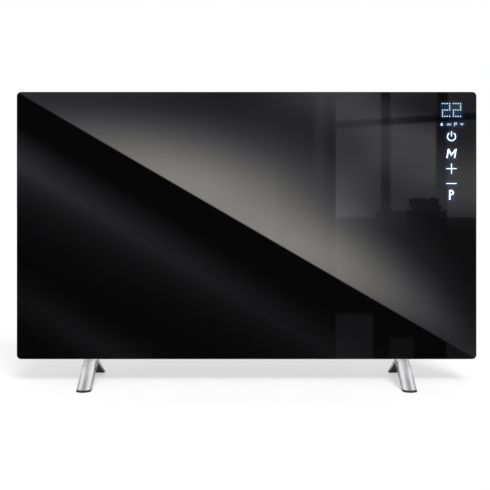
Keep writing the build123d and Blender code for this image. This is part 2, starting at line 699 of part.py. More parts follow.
def digit_segments():
    """The seven bars of one digit, about its middle."""
    across = Rectangle(DIGIT_WIDTH - 2 * (DIGIT_STROKE + DIGIT_GAP), DIGIT_STROKE)
    upright = Rectangle(DIGIT_STROKE, DIGIT_HEIGHT / 2 - 1.5 * DIGIT_STROKE - 2 * DIGIT_GAP)
    reach_x = (DIGIT_WIDTH - DIGIT_STROKE) / 2
    reach_z = (DIGIT_HEIGHT - DIGIT_STROKE) / 2
    bars = [Pos(0, level * reach_z) * across for level in (-1, 0, 1)]
    bars += [
        Pos(side * reach_x, level * reach_z / 2) * upright for side in (-1, 1) for level in (-1, 1)
    ]
    return bars


def led_digits():
    """A two-digit display block, with its windows let into the face."""
    face_y = GLASS_BACK_Y + LED_FACE_GAP
    middle_z = GLASS_TOP_Z - DIGIT_DROP
    body = slab(Pos(CONTROL_X, middle_z) * Rectangle(LED_WIDTH, LED_HEIGHT), face_y, DISPLAY_Y - face_y)
    for side in (-1, 1):
        centre = Pos(CONTROL_X + side * DIGIT_PITCH / 2, middle_z)
        body -= [slab(centre * bar, face_y, DIGIT_RECESS) for bar in digit_segments()]
    return body


def icon_light_guide():
    """A bar with a light well behind each small icon."""
    face_y = GLASS_BACK_Y + LED_FACE_GAP
    z = GLASS_TOP_Z - ICON_DROP
    bar = slab(
        Pos(CONTROL_X, z) * Rectangle(ICON_GUIDE_WIDTH, ICON_GUIDE_HEIGHT),
        face_y,
        DISPLAY_Y - face_y,
    )
    for x in ICON_XS:
        bar -= slab(Pos(x, z) * Rectangle(ICON_WELL, ICON_WELL), face_y, DISPLAY_Y - face_y)
    return bar


def touch_pads():
    """Blocks of conductive foam between the board and the glass, behind each touch mark."""
    pad = Pos(CONTROL_X, GLASS_TOP_Z) * Rectangle(TOUCH_PAD, TOUCH_PAD)
    return Compound([slab(Pos(0, -drop) * pad, GLASS_BACK_Y, DISPLAY_SETBACK) for drop in TOUCH_DROPS])


# Parts on the boards
def mounted(size, place, front_y=POWER_PARTS_Y, bottom=POWER_BOARD_BOTTOM):
    """A box-shaped component of width, depth and height, standing on a board."""
    x = CONTROL_X + place[0]
    z = bottom + place[1]
    return block(
        (x - size[0] / 2, x + size[0] / 2), (front_y, front_y + size[1]), (z - size[2] / 2, z + size[2] / 2)
    )


def power_relay():
    relay = mounted(RELAY_SIZE, RELAY_PLACE)
    return chamfer(relay.faces().sort_by(Axis.Y)[-1].edges(), RELAY_EDGE)


def transformer():
    """A ferrite core round a taped coil."""
    return mounted(TRANSFORMER_SIZE, TRANSFORMER_PLACE) + mounted(COIL_SIZE, TRANSFORMER_PLACE)


def filter_capacitors():
    """A lying can and a moulded box."""
    x = CONTROL_X + CAN_CAPACITOR_PLACE[0]
    z = POWER_BOARD_BOTTOM + CAN_CAPACITOR_PLACE[1]
    half = CAN_CAPACITOR_LENGTH / 2
    can = rod_z(CAN_CAPACITOR_RADIUS, x, POWER_PARTS_Y + CAN_CAPACITOR_RADIUS, (z - half, z + half))
    box = mounted(BOX_CAPACITOR_SIZE, BOX_CAPACITOR_PLACE)
    box = chamfer(box.faces().sort_by(Axis.Y)[-1].edges(), RELAY_EDGE)
    return Compound([can, box])


def fuse():
    """A glass cartridge in two clips."""
    shift, lift = FUSE_PLACE
    half = FUSE_LENGTH / 2
    z = POWER_BOARD_BOTTOM + lift
    body = rod_z(FUSE_RADIUS, CONTROL_X + shift, POWER_PARTS_Y + 2 * FUSE_RADIUS, (z - half, z + half))
    for side in (-1, 1):
        clip_lift = lift + side * (half - FUSE_CLIP / 2)
        body += mounted((3 * FUSE_RADIUS, 2.6 * FUSE_RADIUS, FUSE_CLIP), (shift, clip_lift))
    return body


def block_ways():
    """X of each way of the terminal block."""
    return [CONTROL_X + (index - (BLOCK_WAYS - 1) / 2) * BLOCK_PITCH for index in range(BLOCK_WAYS)]


def terminal_block():
    """Screw terminals, wires from below and screws from behind."""
    body = mounted((BLOCK_WAYS * BLOCK_PITCH, BLOCK_DEPTH, BLOCK_HEIGHT), (0, BLOCK_LIFT))
    middle = POWER_BOARD_BOTTOM + BLOCK_LIFT
    bottom = middle - BLOCK_HEIGHT / 2
    wire_y = POWER_PARTS_Y + BLOCK_DEPTH / 2
    half = BLOCK_WINDOW / 2
    for x in block_ways():
        xs = (x - half, x + half)
        body -= block(xs, (wire_y - half, wire_y + half), (bottom, middle - half))
        screw_ys = (POWER_PARTS_Y + BLOCK_DEPTH - half, POWER_PARTS_Y + BLOCK_DEPTH)
        body -= block(xs, screw_ys, (middle - half, middle + half))
    return body


def wifi_module():
    """A shielded radio on the back of the display board, its aerial end thinner."""
    back_y = DISPLAY_Y + BOARD_THICKNESS
    module = mounted(RADIO_SIZE, RADIO_PLACE, back_y, DISPLAY_BOTTOM)
    x = CONTROL_X + RADIO_PLACE[0]
    top = DISPLAY_BOTTOM + RADIO_PLACE[1] + RADIO_SIZE[2] / 2
    return module - block(
        (x - RADIO_SIZE[0], x + RADIO_SIZE[0]),
        (back_y + RADIO_STEP, back_y + RADIO_SIZE[1]),
        (top - RADIO_SIZE[2] / 4, top),
    )


def room_sensor():
    """A thermistor bead in a clip on the case bottom, over the vents."""
    x = CONTROL_X + SENSOR_SHIFT
    y = CASE_BACK_Y - SENSOR_SETBACK
    floor = CASE_BOTTOM_Z + SHEET
    clip = block(
        (x - SENSOR_SIZE[0] / 2, x + SENSOR_SIZE[0] / 2),
        (y - SENSOR_SIZE[1] / 2, y + SENSOR_SIZE[1] / 2),
        (floor, floor + SENSOR_SIZE[2] / 2),
    )
    return clip + rod_z(SENSOR_BEAD_RADIUS, x, y, (floor + SENSOR_SIZE[2] / 2, floor + SENSOR_SIZE[2]))


def earth_stud():
    """A welded stud on the case back, with its nut."""
    x = CONTROL_X + EARTH_PLACE[0]
    z = CASE_BOTTOM_Z + EARTH_PLACE[1]
    stud = rod_y(EARTH_RADIUS, x, (CASE_INNER_Y - EARTH_LENGTH, CASE_INNER_Y), z)
    nut = RegularPolygon(EARTH_NUT_FLATS / 2, 6, major_radius=False)
    return stud + slab(Pos(x, z) * nut, CASE_INNER_Y - EARTH_NUT, EARTH_NUT)


def ribbon_cable():
    """A flat cable from the power board, up behind the tray and through its slot to the display."""
    slot_z = ribbon_slot_height()
    low_z = POWER_BOARD_TOP - RIBBON_HEAD
    high_z = DISPLAY_BOTTOM + RIBBON_HEAD
    power_y = POWER_PARTS_Y + RIBBON_PLUG
    display_y = DISPLAY_Y + BOARD_THICKNESS + RIBBON_THICKNESS
    points = [(power_y, low_z), (power_y, slot_z), (display_y, slot_z), (display_y, high_z)]
    ribbon = folded_strip(points, RIBBON_THICKNESS, Plane.YZ.offset(ribbon_x()), RIBBON_WIDTH)
    plug = block(
        (ribbon_x() - RIBBON_WIDTH / 2, ribbon_x() + RIBBON_WIDTH / 2),
        (POWER_PARTS_Y, power_y),
        (low_z - RIBBON_HEAD / 2, low_z + RIBBON_HEAD / 2),
    )
    return ribbon + plug


def ribbon_x():
    return CONTROL_X + RIBBON_SHIFT


def ribbon_slot_height():
    return POWER_BOARD_TOP + POST_RADIUS * 3


# Tip-over cut-off: a pendulum whose vane leaves a light gate when the heater tips
def tilt_cheek_x():
    """Inner face of a cheek, from the middle."""
    return TILT_HUB_WIDTH / 2 + TILT_SIDE_GAP


def tilt_vane_tip():
    return TILT_ARM + TILT_BOB_RADIUS + TILT_VANE


def tilt_bracket():
    """A moulded fork on the back of the tray."""
    half = tilt_cheek_x()
    base_y = TRAY_BACK_Y + TILT_CHEEK
    top = TILT_PIVOT_Z + 2 * TILT_HUB_RADIUS
    bottom = TILT_PIVOT_Z - tilt_vane_tip() - 2 * TILT_HUB_RADIUS
    outer = half + TILT_CHEEK
    bracket = block((TILT_X - outer, TILT_X + outer), (TRAY_BACK_Y, base_y), (bottom, top))
    ear = Rectangle(TILT_BRACKET_FRONT + TILT_HUB_RADIUS, 2 * TILT_HUB_RADIUS)
    ear = chamfer(ear.vertices().group_by(Axis.X)[-1], TILT_CHEEK)
    ear = Pos(base_y + (TILT_BRACKET_FRONT + TILT_HUB_RADIUS) / 2, TILT_PIVOT_Z) * ear
    for side in (-1, 1):
        x = TILT_X + side * (half + TILT_CHEEK / 2)
        bracket += extrude(Plane.YZ.offset(x) * ear, TILT_CHEEK / 2, both=True)
    return bracket - rod_x(
        TILT_PIN_RADIUS + TAPPED_CLEARANCE, (TILT_X - outer, TILT_X + outer), TILT_PIVOT_Y, TILT_PIVOT_Z
    )


def tilt_pin():
    outer = tilt_cheek_x() + 2 * TILT_CHEEK
    return rod_x(TILT_PIN_RADIUS, (TILT_X - outer, TILT_X + outer), TILT_PIVOT_Y, TILT_PIVOT_Z)


def tilt_pendulum():
    """Hub, arm, bob and the thin vane below it."""
    half = TILT_HUB_WIDTH / 2
    span = (TILT_X - half, TILT_X + half)
    bob_z = TILT_PIVOT_Z - TILT_ARM
    pendulum = rod_x(TILT_HUB_RADIUS, span, TILT_PIVOT_Y, TILT_PIVOT_Z)
    bob = (-TILT_BOB_RADIUS, TILT_BOB_RADIUS)
    pendulum += block(span, [TILT_PIVOT_Y + reach for reach in bob], [bob_z + reach for reach in bob])
    arm = TILT_ARM_WIDTH / 2
    pendulum += block(
        (TILT_X - arm, TILT_X + arm), (TILT_PIVOT_Y - arm, TILT_PIVOT_Y + arm), (bob_z, TILT_PIVOT_Z)
    )
    vane = (TILT_VANE_THICKNESS / 2, TILT_VANE_WIDTH / 2)
    pendulum += block(
        (TILT_X - vane[0], TILT_X + vane[0]),
        (TILT_PIVOT_Y - vane[1], TILT_PIVOT_Y + vane[1]),
        (TILT_PIVOT_Z - tilt_vane_tip(), bob_z),
    )
    return pendulum - rod_x(TILT_PIN_RADIUS + TILT_RUNNING, span, TILT_PIVOT_Y, TILT_PIVOT_Z)


def tilt_light_gate():
    """A slotted sensor under the bob, round the hanging vane."""
    top = TILT_PIVOT_Z - TILT_ARM - TILT_BOB_RADIUS - GATE_BOB_GAP
    slot_floor = TILT_PIVOT_Z - tilt_vane_tip() - GATE_BOB_GAP * 2
    half = GATE_SLOT / 2 + GATE_ARM
    cut = GATE_SLOT / 2
    front = TRAY_BACK_Y + TILT_CHEEK
    back = TILT_PIVOT_Y + GATE_ARM
    gate = block((TILT_X - half, TILT_X + half), (front, back), (slot_floor - 2 * GATE_ARM, top))
    gate -= block((TILT_X - cut, TILT_X + cut), (front, back), (slot_floor, top))
    return gate - block((TILT_X - half, TILT_X + half), (front, TILT_PIVOT_Y - GATE_ARM), (slot_floor, top))


# Mains rocker switch
def switch_housing():
    """A snap-in body with a bezel outside the case wall and a bay for the rocker."""
    wall_x = CASE_WIDTH / 2
    face_x = wall_x + BEZEL_THICKNESS
    body = block(
        (face_x - SWITCH_DEPTH, wall_x),
        (SWITCH_Y - SWITCH_HALF_WIDTH, SWITCH_Y + SWITCH_HALF_WIDTH),
        (SWITCH_Z - SWITCH_HALF_LENGTH, SWITCH_Z + SWITCH_HALF_LENGTH),
    )
    bezel = Rectangle(2 * (SWITCH_HALF_WIDTH + BEZEL_MARGIN), 2 * (SWITCH_HALF_LENGTH + BEZEL_MARGIN))
    bezel = chamfer(bezel.vertices(), BEZEL_MARGIN)
    bezel = extrude(Plane.YZ.offset(wall_x) * Pos(SWITCH_Y, SWITCH_Z) * bezel, BEZEL_THICKNESS)
    body += chamfer(bezel.faces().sort_by(Axis.X)[-1].edges(), BEZEL_THICKNESS / 3)
    bay_y = SWITCH_HALF_WIDTH - SWITCH_WALL
    body -= block(
        (ROCKER_X - ROCKER_SKIRT - SWITCH_FLOOR_GAP, face_x),
        (SWITCH_Y - bay_y, SWITCH_Y + bay_y),
        (SWITCH_Z - ROCKER_BAY, SWITCH_Z + ROCKER_BAY),
    )
    body -= rod_y(
        TRUNNION_RADIUS + TRUNNION_RUNNING,
        ROCKER_X,
        (SWITCH_Y - SWITCH_HALF_WIDTH, SWITCH_Y + SWITCH_HALF_WIDTH),
        SWITCH_Z,
    )
    catch_x = wall_x - SHEET - CUTOUT_CLEARANCE
    for side in (-1, 1):
        root = SWITCH_Z + side * SWITCH_HALF_LENGTH
        crest = root + side * LATCH_CATCH
        wedge = Polyline((catch_x - LATCH_LENGTH, root), (catch_x, root), (catch_x, crest), close=True)
        body += extrude(Plane.XZ.offset(-SWITCH_Y) * make_face(wedge), TAB_WIDTH / 2, both=True)
    return body


def switch_rocker():
    """Two faces in a shallow V, with round ends about the pivot, at rest with its top end in."""
    rise = ROCKER_RADIUS * math.tan(math.radians(ROCKER_TILT))
    outline = Polyline(
        (-ROCKER_SKIRT, -ROCKER_RADIUS),
        (-ROCKER_SKIRT, ROCKER_RADIUS),
        (ROCKER_CROWN + rise, ROCKER_RADIUS),
        (ROCKER_CROWN, 0),
        (ROCKER_CROWN + rise, -ROCKER_RADIUS),
        close=True,
    )
    profile = make_face(outline) & Circle(ROCKER_RADIUS)
    half = ROCKER_WIDTH / 2
    rocker = extrude(Plane.XZ * profile, half, both=True)
    rocker += rod_y(TRUNNION_RADIUS, 0, (-half - TRUNNION_REACH, half + TRUNNION_REACH), 0)
    return Pos(ROCKER_X, SWITCH_Y, SWITCH_Z) * Rot(0, -ROCKER_TILT, 0) * rocker


def switch_terminals():
    """Three spade tabs out of the inner end."""
    inner_x = CASE_WIDTH / 2 + BEZEL_THICKNESS - SWITCH_DEPTH
    tabs = []
    for index in (-1, 0, 1):
        z = SWITCH_Z + index * SWITCH_HALF_LENGTH * 0.6
        tabs.append(
            block(
                (inner_x - TAB_LENGTH, inner_x),
                (SWITCH_Y - TAB_WIDTH / 2, SWITCH_Y + TAB_WIDTH / 2),
                (z - TAB_THICKNESS / 2, z + TAB_THICKNESS / 2),
            )
        )
    return Compound(tabs)


# Cord inlet
def cord_gland():
    """A turned bush: thread through the back, flange against it, a tapered nose, a bore for the cord."""
    inner_y = CASE_BACK_Y - GLAND_INSIDE
    flange_y = CASE_BACK_Y + GLAND_FLANGE
    nose_y = flange_y + GLAND_NOSE
    tip_radius = GLAND_NOSE_RADIUS - GLAND_NOSE * math.tan(math.radians(GLAND_NOSE_DRAFT))
    profile = Polyline(
        (CORD_RADIUS, inner_y),
        (GLAND_THREAD_RADIUS, inner_y),
        (GLAND_THREAD_RADIUS, CASE_BACK_Y),
        (GLAND_FLANGE_RADIUS, CASE_BACK_Y),
        (GLAND_FLANGE_RADIUS, flange_y),
        (GLAND_NOSE_RADIUS, flange_y),
        (tip_radius, nose_y),
        (CORD_RADIUS, nose_y),
        close=True,
    )
    return Pos(GLAND_X, 0, GLAND_Z) * revolve(make_face(profile), Axis.Y)


def gland_nut():
    """The hexagon nut on the gland inside the case."""
    nut = RegularPolygon(GLAND_NUT_FLATS / 2, 6, major_radius=False)
    nut -= Circle(GLAND_THREAD_RADIUS + NUT_CLEARANCE)
    return slab(Pos(GLAND_X, GLAND_Z) * nut, CASE_INNER_Y - GLAND_NUT, GLAND_NUT)


# Feet
def limb_section():
    """D-shaped bar: square inside edges and a low crown outside, X across and Y outwards."""
    half = LIMB_WIDTH / 2
    inside = -LIMB_EDGE - LIMB_CROWN
    sides = Polyline((half, 0), (half, inside), (-half, inside), (-half, 0))
    section = make_face([*sides.edges(), ThreePointArc((-half, 0), (0, LIMB_CROWN), (half, 0))])
    corners = section.vertices().group_by(Axis.Y)[-1]
    return fillet(corners, LIMB_EDGE_RADIUS)


def limb(side):
    """One sloping limb, from the floor to the middle of the foot."""
    along = Vector(0, -side * math.cos(LEG_SLOPE), math.sin(LEG_SLOPE))
    foot = Vector(0, side * FOOT_SPAN / 2, 0)
    below = foot - along * FOOT_SPAN / 4
    bar = Plane(origin=below, x_dir=(side, 0, 0), z_dir=along) * extrude(limb_section(), FOOT_SPAN)
    return bar & block((-LIMB_WIDTH, LIMB_WIDTH), sorted((0, side * FOOT_SPAN)), (0, 2 * APEX_HEIGHT))


def underside():
    """The wedge of air below the limbs, rounded where they meet."""
    slope = math.tan(LEG_SLOPE)
    apex = APEX_HEIGHT - LIMB_EDGE / math.cos(LEG_SLOPE)
    reach = (apex + PAD_THICKNESS) / slope
    wedge = make_face(Polyline((-reach, -PAD_THICKNESS), (0, apex), (reach, -PAD_THICKNESS), close=True))
    wedge = fillet(wedge.vertices().sort_by(Axis.Y)[-1:], UNDERSIDE_RADIUS)
    return extrude(Plane.YZ * wedge, LIMB_WIDTH, both=True)


def neck():
    """A neck from the crown of the limbs to a flange under the case."""
    under = CASE_BOTTOM_Z - FLANGE_THICKNESS
    root = APEX_HEIGHT - 2 * LIMB_EDGE
    stem = Pos(0, (root + under) / 2) * Rectangle(NECK_WIDTH, under - root)
    plate = Pos(0, under + FLANGE_THICKNESS / 2) * Rectangle(FLANGE_WIDTH, FLANGE_THICKNESS)
    profile = stem + plate
    corners = profile.vertices().group_by(Axis.Y)[1].sort_by(Axis.X)[1:-1]
    profile = chamfer(corners, min(NECK_FLARE, under - APEX_HEIGHT))
    body = extrude(Plane.XZ.offset(-FLANGE_SHIFT) * profile, FLANGE_DEPTH / 2, both=True)
    outline = Rectangle(FLANGE_WIDTH, FLANGE_DEPTH)
    outline = chamfer(outline.vertices(), FLANGE_CROP)
    return body & extrude(Pos(0, FLANGE_SHIFT, 0) * outline, CASE_BOTTOM_Z)


def whole_foot():
    """Both limbs and the neck, down to the floor, about X = 0."""
    return limb(-1) + limb(1) + neck() - underside()


def sole():
    return block((-LIMB_WIDTH, LIMB_WIDTH), (-FOOT_SPAN, FOOT_SPAN), (0, PAD_THICKNESS))


def leg(side):
    foot = Pos(side * LEG_X, 0, 0) * (whole_foot() - sole())
    return foot - leg_screw_holes(
        LEG_SCREW_RADIUS + SCREW_CLEARANCE, CASE_BOTTOM_Z - 2 * FLANGE_THICKNESS, 3 * FLANGE_THICKNESS
    )


def foot_pads():
    """Rubber soles with the outline of the limb ends."""
    pair = whole_foot() & sole()
    pads = []
    for side in (-1, 1):
        pads += (Pos(side * LEG_X, 0, 0) * pair).solids()
    return Compound(pads)


def leg_screw_holes(radius, z, height):
    return [rod_z(radius, x, LEG_SCREW_Y, (z, z + height)) for x in LEG_SCREW_XS]


def leg_screws():
    """Hexagon-head screws up through the flange and the case into the brackets."""
    under = CASE_BOTTOM_Z - FLANGE_THICKNESS
    screw = hexagon_screw(LEG_SCREW_RADIUS, LEG_SCREW_LENGTH, LEG_SCREW_FLATS, LEG_SCREW_HEAD)
    return Compound([Pos(x, LEG_SCREW_Y, under) * screw for x in LEG_SCREW_XS])


def leg_brackets():
    """Tapped plates on the case bottom, over the flanges."""
    floor = CASE_BOTTOM_Z + SHEET
    outline = Rectangle(FLANGE_WIDTH, BRACKET_DEPTH)
    plates = []
    for side in (-1, 1):
        plate = Pos(side * LEG_X, LEG_SCREW_Y, floor) * extrude(outline, BRACKET_THICKNESS)
        radius = LEG_SCREW_RADIUS + TAPPED_CLEARANCE
        plates.append(plate - leg_screw_holes(radius, floor, BRACKET_THICKNESS))
    return Compound(plates)


PIECES = {
    "front_glass": front_glass,
    "glass_bead": glass_bead,
    "glass_carrier": glass_carrier,
    "rear_case": rear_case,
    "case_screws": case_screws,
    "mica_front": mica_front,
    "heating_element": heating_element,
    "mica_back": mica_back,
    "element_terminals": element_terminals,
    "foil_reflector": foil_reflector,
    "insulation_board": insulation_board,
    "retainer_straps": retainer_straps,
    "thermal_cutouts": thermal_cutouts,
    "heat_shield": heat_shield,
    "control_tray": control_tray,
    "display_board": display_board,
    "display_standoffs": display_standoffs,
    "led_digits": led_digits,
    "icon_light_guide": icon_light_guide,
    "touch_pads": touch_pads,
    "power_board": power_board,
    "board_standoffs": board_standoffs,
    "power_relay": power_relay,
    "transformer": transformer,
    "filter_capacitors": filter_capacitors,
    "fuse": fuse,
    "terminal_block": terminal_block,
    "wifi_module": wifi_module,
    "room_sensor": room_sensor,
    "earth_stud": earth_stud,
    "ribbon_cable": ribbon_cable,
    "tilt_bracket": tilt_bracket,
    "tilt_pin": tilt_pin,
    "tilt_pendulum": tilt_pendulum,
    "tilt_light_gate": tilt_light_gate,
    "switch_housing": switch_housing,
    "switch_rocker": switch_rocker,
    "switch_terminals": switch_terminals,
    "cord_gland": cord_gland,
    "gland_nut": gland_nut,
    "left_leg": lambda: leg(-1),
    "right_leg": lambda: leg(1),
    "foot_pads": foot_pads,
    "leg_screws": leg_screws,
    "leg_brackets": leg_brackets,
}

os.makedirs("parts", exist_ok=True)
for name, make in PIECES.items():
    export_step(make(), f"parts/{name}.step")
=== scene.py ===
import math

import bmesh
import bpy
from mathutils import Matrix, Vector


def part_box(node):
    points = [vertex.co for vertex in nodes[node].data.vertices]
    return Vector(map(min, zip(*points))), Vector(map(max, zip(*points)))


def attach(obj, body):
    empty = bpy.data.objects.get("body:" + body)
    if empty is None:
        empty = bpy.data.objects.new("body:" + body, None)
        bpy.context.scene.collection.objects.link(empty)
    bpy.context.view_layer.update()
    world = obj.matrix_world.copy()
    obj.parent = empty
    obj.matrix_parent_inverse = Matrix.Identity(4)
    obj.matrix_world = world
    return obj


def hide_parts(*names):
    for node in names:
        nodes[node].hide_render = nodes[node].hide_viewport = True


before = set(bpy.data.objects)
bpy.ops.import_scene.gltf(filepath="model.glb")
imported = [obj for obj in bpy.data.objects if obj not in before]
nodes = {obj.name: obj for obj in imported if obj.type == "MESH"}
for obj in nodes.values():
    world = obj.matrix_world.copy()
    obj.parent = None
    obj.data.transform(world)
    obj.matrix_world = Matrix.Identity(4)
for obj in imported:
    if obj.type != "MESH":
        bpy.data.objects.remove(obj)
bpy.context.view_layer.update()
scene = bpy.context.scene
scene.view_settings.view_transform = "Standard"
MM = 0.001


# Camera
# It looks level at the glass from straight in front, a little above the middle of the panel,
# and is shifted down so that the feet stay upright in the picture.
def add_object(name, data):
    made = bpy.data.objects.new(name, data)
    scene.collection.objects.link(made)
    return made


camera = add_object("camera", bpy.data.cameras.new("camera"))
camera.location = (0.0, -2.06, 0.388)
camera.rotation_euler = (math.radians(90), 0, 0)
camera.data.sensor_width = 36.0
camera.data.lens = 80.04
camera.data.shift_x = -0.0033
camera.data.shift_y = -0.1412
scene.camera = camera


# Studio
# A white floor that keeps the heater's soft shadow, a white surround and soft overhead light.
# The helper class writes shader arithmetic as Python expressions for every material below.
FLOOR_HALF = 9.0
FLOOR_WHITE = 0.50
FLOOR_GLOW = 0.50
WORLD_LIGHT = 0.50


class Signal:
    """A socket in a node tree. Arithmetic on it adds Math nodes to the same tree."""

    def __init__(self, tree, socket=None):
        self.tree = tree
        self.socket = socket

    def node(self, kind, settings=(), values=(), output=0):
        """A new node's output. Its settings come first, then the values of its sockets."""
        made = self.tree.nodes.new(kind)
        for name, value in dict(settings).items():
            setattr(made, name, value)
        for key, value in dict(values).items():
            if isinstance(value, (Signal, list)):
                for signal in value if isinstance(value, list) else [value]:
                    self.tree.links.new(signal.socket, made.inputs[key])
            else:
                made.inputs[key].default_value = value
        return Signal(self.tree, made.outputs[output])

    def outputs(self, kind, *names):
        found = self.node(kind).socket.node.outputs
        return [Signal(self.tree, found[name]) for name in names]

    def math(self, operation, *others):
        return self.node("ShaderNodeMath", {"operation": operation}, enumerate((self, *others)))

    def __add__(self, other):
        return self.math("ADD", other)

    def __sub__(self, other):
        return self.math("SUBTRACT", other)

    def __rsub__(self, other):
        return self.node("ShaderNodeMath", {"operation": "SUBTRACT"}, {0: other, 1: self})

    def __mul__(self, other):
        return self.math("MULTIPLY", other)

    def __truediv__(self, other):
        return self.math("DIVIDE", other)

    def __abs__(self):
        return self.math("ABSOLUTE")

    __radd__ = __add__
    __rmul__ = __mul__

    def off_centre(self):
        """How far this value is from the middle between two whole numbers, up to a half."""
        return abs(self.math("FRACT") - 0.5)

    def ramp(self, low, high):
        """0 where this value is at low and 1 where it is at high, with soft ends."""
        settings = {"interpolation_type": "SMOOTHSTEP"}
        return self.node("ShaderNodeMapRange", settings, {0: self, 1: low, 2: high})

    def bell(self, middle, width):
        """A soft hump of height 1 about middle."""
        offset = (self - middle) / width
        return (offset * offset * -1.0).math("EXPONENT")

    def inside(self, low, high, soft):
        return self.ramp(low - soft, low + soft) * (1.0 - self.ramp(high - soft, high + soft))

    def blend(self, low, high):
        """A colour: low where this value is 0, high where it is 1."""
        settings = {"data_type": "RGBA"}
        colours = {
            index: colour if isinstance(colour, Signal) else (*colour, 1.0)
            for index, colour in ((6, low), (7, high))
        }
        return self.node("ShaderNodeMix", settings, {0: self, **colours}, 2)

    def stretched(self, x, y, z):
        settings = {"operation": "MULTIPLY"}
        return self.node("ShaderNodeVectorMath", settings, {0: self, 1: (x, y, z)})

    def noise(self, scale, detail=3.0, output=0):
        values = {"Vector": self, "Scale": scale, "Detail": detail}
        return self.node("ShaderNodeTexNoise", (), values, output)

    def cells(self, scale):
        values = {"Vector": self, "Scale": scale}
        return self.node("ShaderNodeTexVoronoi", (), values, "Distance")

    def bump(self, height_mm, strength=1.0):
        """A normal that follows this value as a height."""
        values = {"Height": self, "Distance": height_mm * MM, "Strength": strength}
        return self.node("ShaderNodeBump", (), values)

    def axes(self):
        split = self.node("ShaderNodeSeparateXYZ", (), {0: self}).socket.node
        return [Signal(self.tree, socket) for socket in split.outputs]


def seen_rays(signal):
    """1 for rays from the camera and for what gloss shows, 0 for other light."""
    camera_ray, glossy = signal.outputs("ShaderNodeLightPath", "Is Camera Ray", "Is Glossy Ray")
    return (camera_ray + glossy).math("MINIMUM", 1.0)


def finish(name, colour=(0.5, 0.5, 0.5), **constants):
    """A material, with fixed values on its shader, and a signal of its object coordinates."""
    material = bpy.data.materials.new(name)
    material.use_nodes = True
    shader = material.node_tree.nodes["Principled BSDF"]
    shader.inputs["Base Color"].default_value = (*colour, 1.0)
    for socket, value in constants.items():
        shader.inputs[socket.replace("_", " ")].default_value = value
    place = Signal(material.node_tree).node("ShaderNodeTexCoord", output="Object")
    return material, place


def wire(material, **signals):
    """Joins signals to the sockets of a material's shader."""
    shader = material.node_tree.nodes["Principled BSDF"]
    for socket, signal in signals.items():
        material.node_tree.links.new(signal.socket, shader.inputs[socket.replace("_", " ")])


surround = bpy.data.worlds.new("surround")
surround.use_nodes = True
background = surround.node_tree.nodes["Background"]
brightness = WORLD_LIGHT + (1.0 - WORLD_LIGHT) * seen_rays(Signal(surround.node_tree))
surround.node_tree.links.new(brightness.socket, background.inputs["Strength"])
background.inputs["Color"].default_value = (1, 1, 1, 1)
scene.world = surround

floor_corners = [(x * FLOOR_HALF, y * FLOOR_HALF, 0) for x, y in ((-1, -1), (1, -1), (1, 1), (-1, 1))]
floor_mesh = bpy.data.meshes.new("floor")
floor_mesh.from_pydata(floor_corners, [], [(0, 1, 2, 3)])
floor_paint, place = finish(
    "floor_paint", [FLOOR_WHITE] * 3, Roughness=1.0, Specular_IOR_Level=0.0, Emission_Color=(1, 1, 1, 1)
)
wire(floor_paint, Emission_Strength=FLOOR_GLOW * seen_rays(place))
floor_mesh.materials.append(floor_paint)
add_object("floor", floor_mesh)


def sun(name, strength, softness, tilt, turn):
    """A far soft light. Tilt is from straight down, turn about the upright axis, in degrees."""
    light = bpy.data.lights.new(name, "SUN")
    light.energy = strength
    light.angle = math.radians(softness)
    add_object(name, light).rotation_euler = (math.radians(tilt), 0, math.radians(turn))


sun("overhead", 0.3, 60, 5, 0)
sun("front_right", 2.4, 24, 48, 14)


# Reflections in the glass
# A card that only glossy rays meet stands before the glass. It carries what the glass mirrors:
# a broad slanting sweep of light with a hard lower edge, panes of light and faint streaks.
CARD_AHEAD = 240.0 * MM
CARD_HALF_WIDTH = 1.3
CARD_TOP = 1.1
CARD_FOOT = 4.0 * MM
CARD_SKIRT = 140.0 * MM  # the card's lower end lies on the floor and thins out towards the feet
CARD_LIGHT = 23.5  # what the card gives off for a level of 1 in the glass
SWEEP_LEVEL = 0.208
NEAR_PANE = (0.694, 0.792, 0.003)  # from, to and softness, as shares of the glass's width
NEAR_POST = (0.792, 0.813, 0.002)
MIDDLE_PANE = (0.813, 0.912, 0.004)
FAR_POST = (0.912, 0.937, 0.003)
FAR_PANE = (0.937, 1.4, 0.004)
PANES_END = (0.466, 0.474)
LEDGE = (0.780, 0.935, 0.003)
TUFT = (0.874, 0.943, 0.004)

glass_low, glass_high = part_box("front_glass")


def glossy_card(name, half_width, profile):
    """A card across X, along a profile in Y and Z, and a signal of the place on it."""
    corners = [(side * half_width, y, z) for y, z in profile for side in (-1, 1)]
    starts = range(0, len(corners) - 2, 2)
    mesh = bpy.data.meshes.new(name)
    mesh.from_pydata(corners, [], [(first, first + 1, first + 3, first + 2) for first in starts])
    add_object(name, mesh)
    paint, place = finish(name)
    mesh.materials.append(paint)
    paint.node_tree.nodes.remove(paint.node_tree.nodes["Principled BSDF"])
    return place


def light_card(place, strength, shown, colour=(1.0, 1.0, 1.0, 1.0)):
    """Lights the card's front for glossy rays where it is shown, and leaves it clear elsewhere."""
    glow = place.node("ShaderNodeEmission", (), {"Color": colour, "Strength": strength})
    clear = place.node("ShaderNodeBsdfTransparent")
    glossy, = place.outputs("ShaderNodeLightPath", "Is Glossy Ray")
    back, = place.outputs("ShaderNodeNewGeometry", "Backfacing")
    values = {0: glossy * (1.0 - back) * shown, 1: clear, 2: glow}
    surface = place.node("ShaderNodeMixShader", (), values)
    place.tree.links.new(surface.socket, place.tree.nodes["Material Output"].inputs["Surface"])


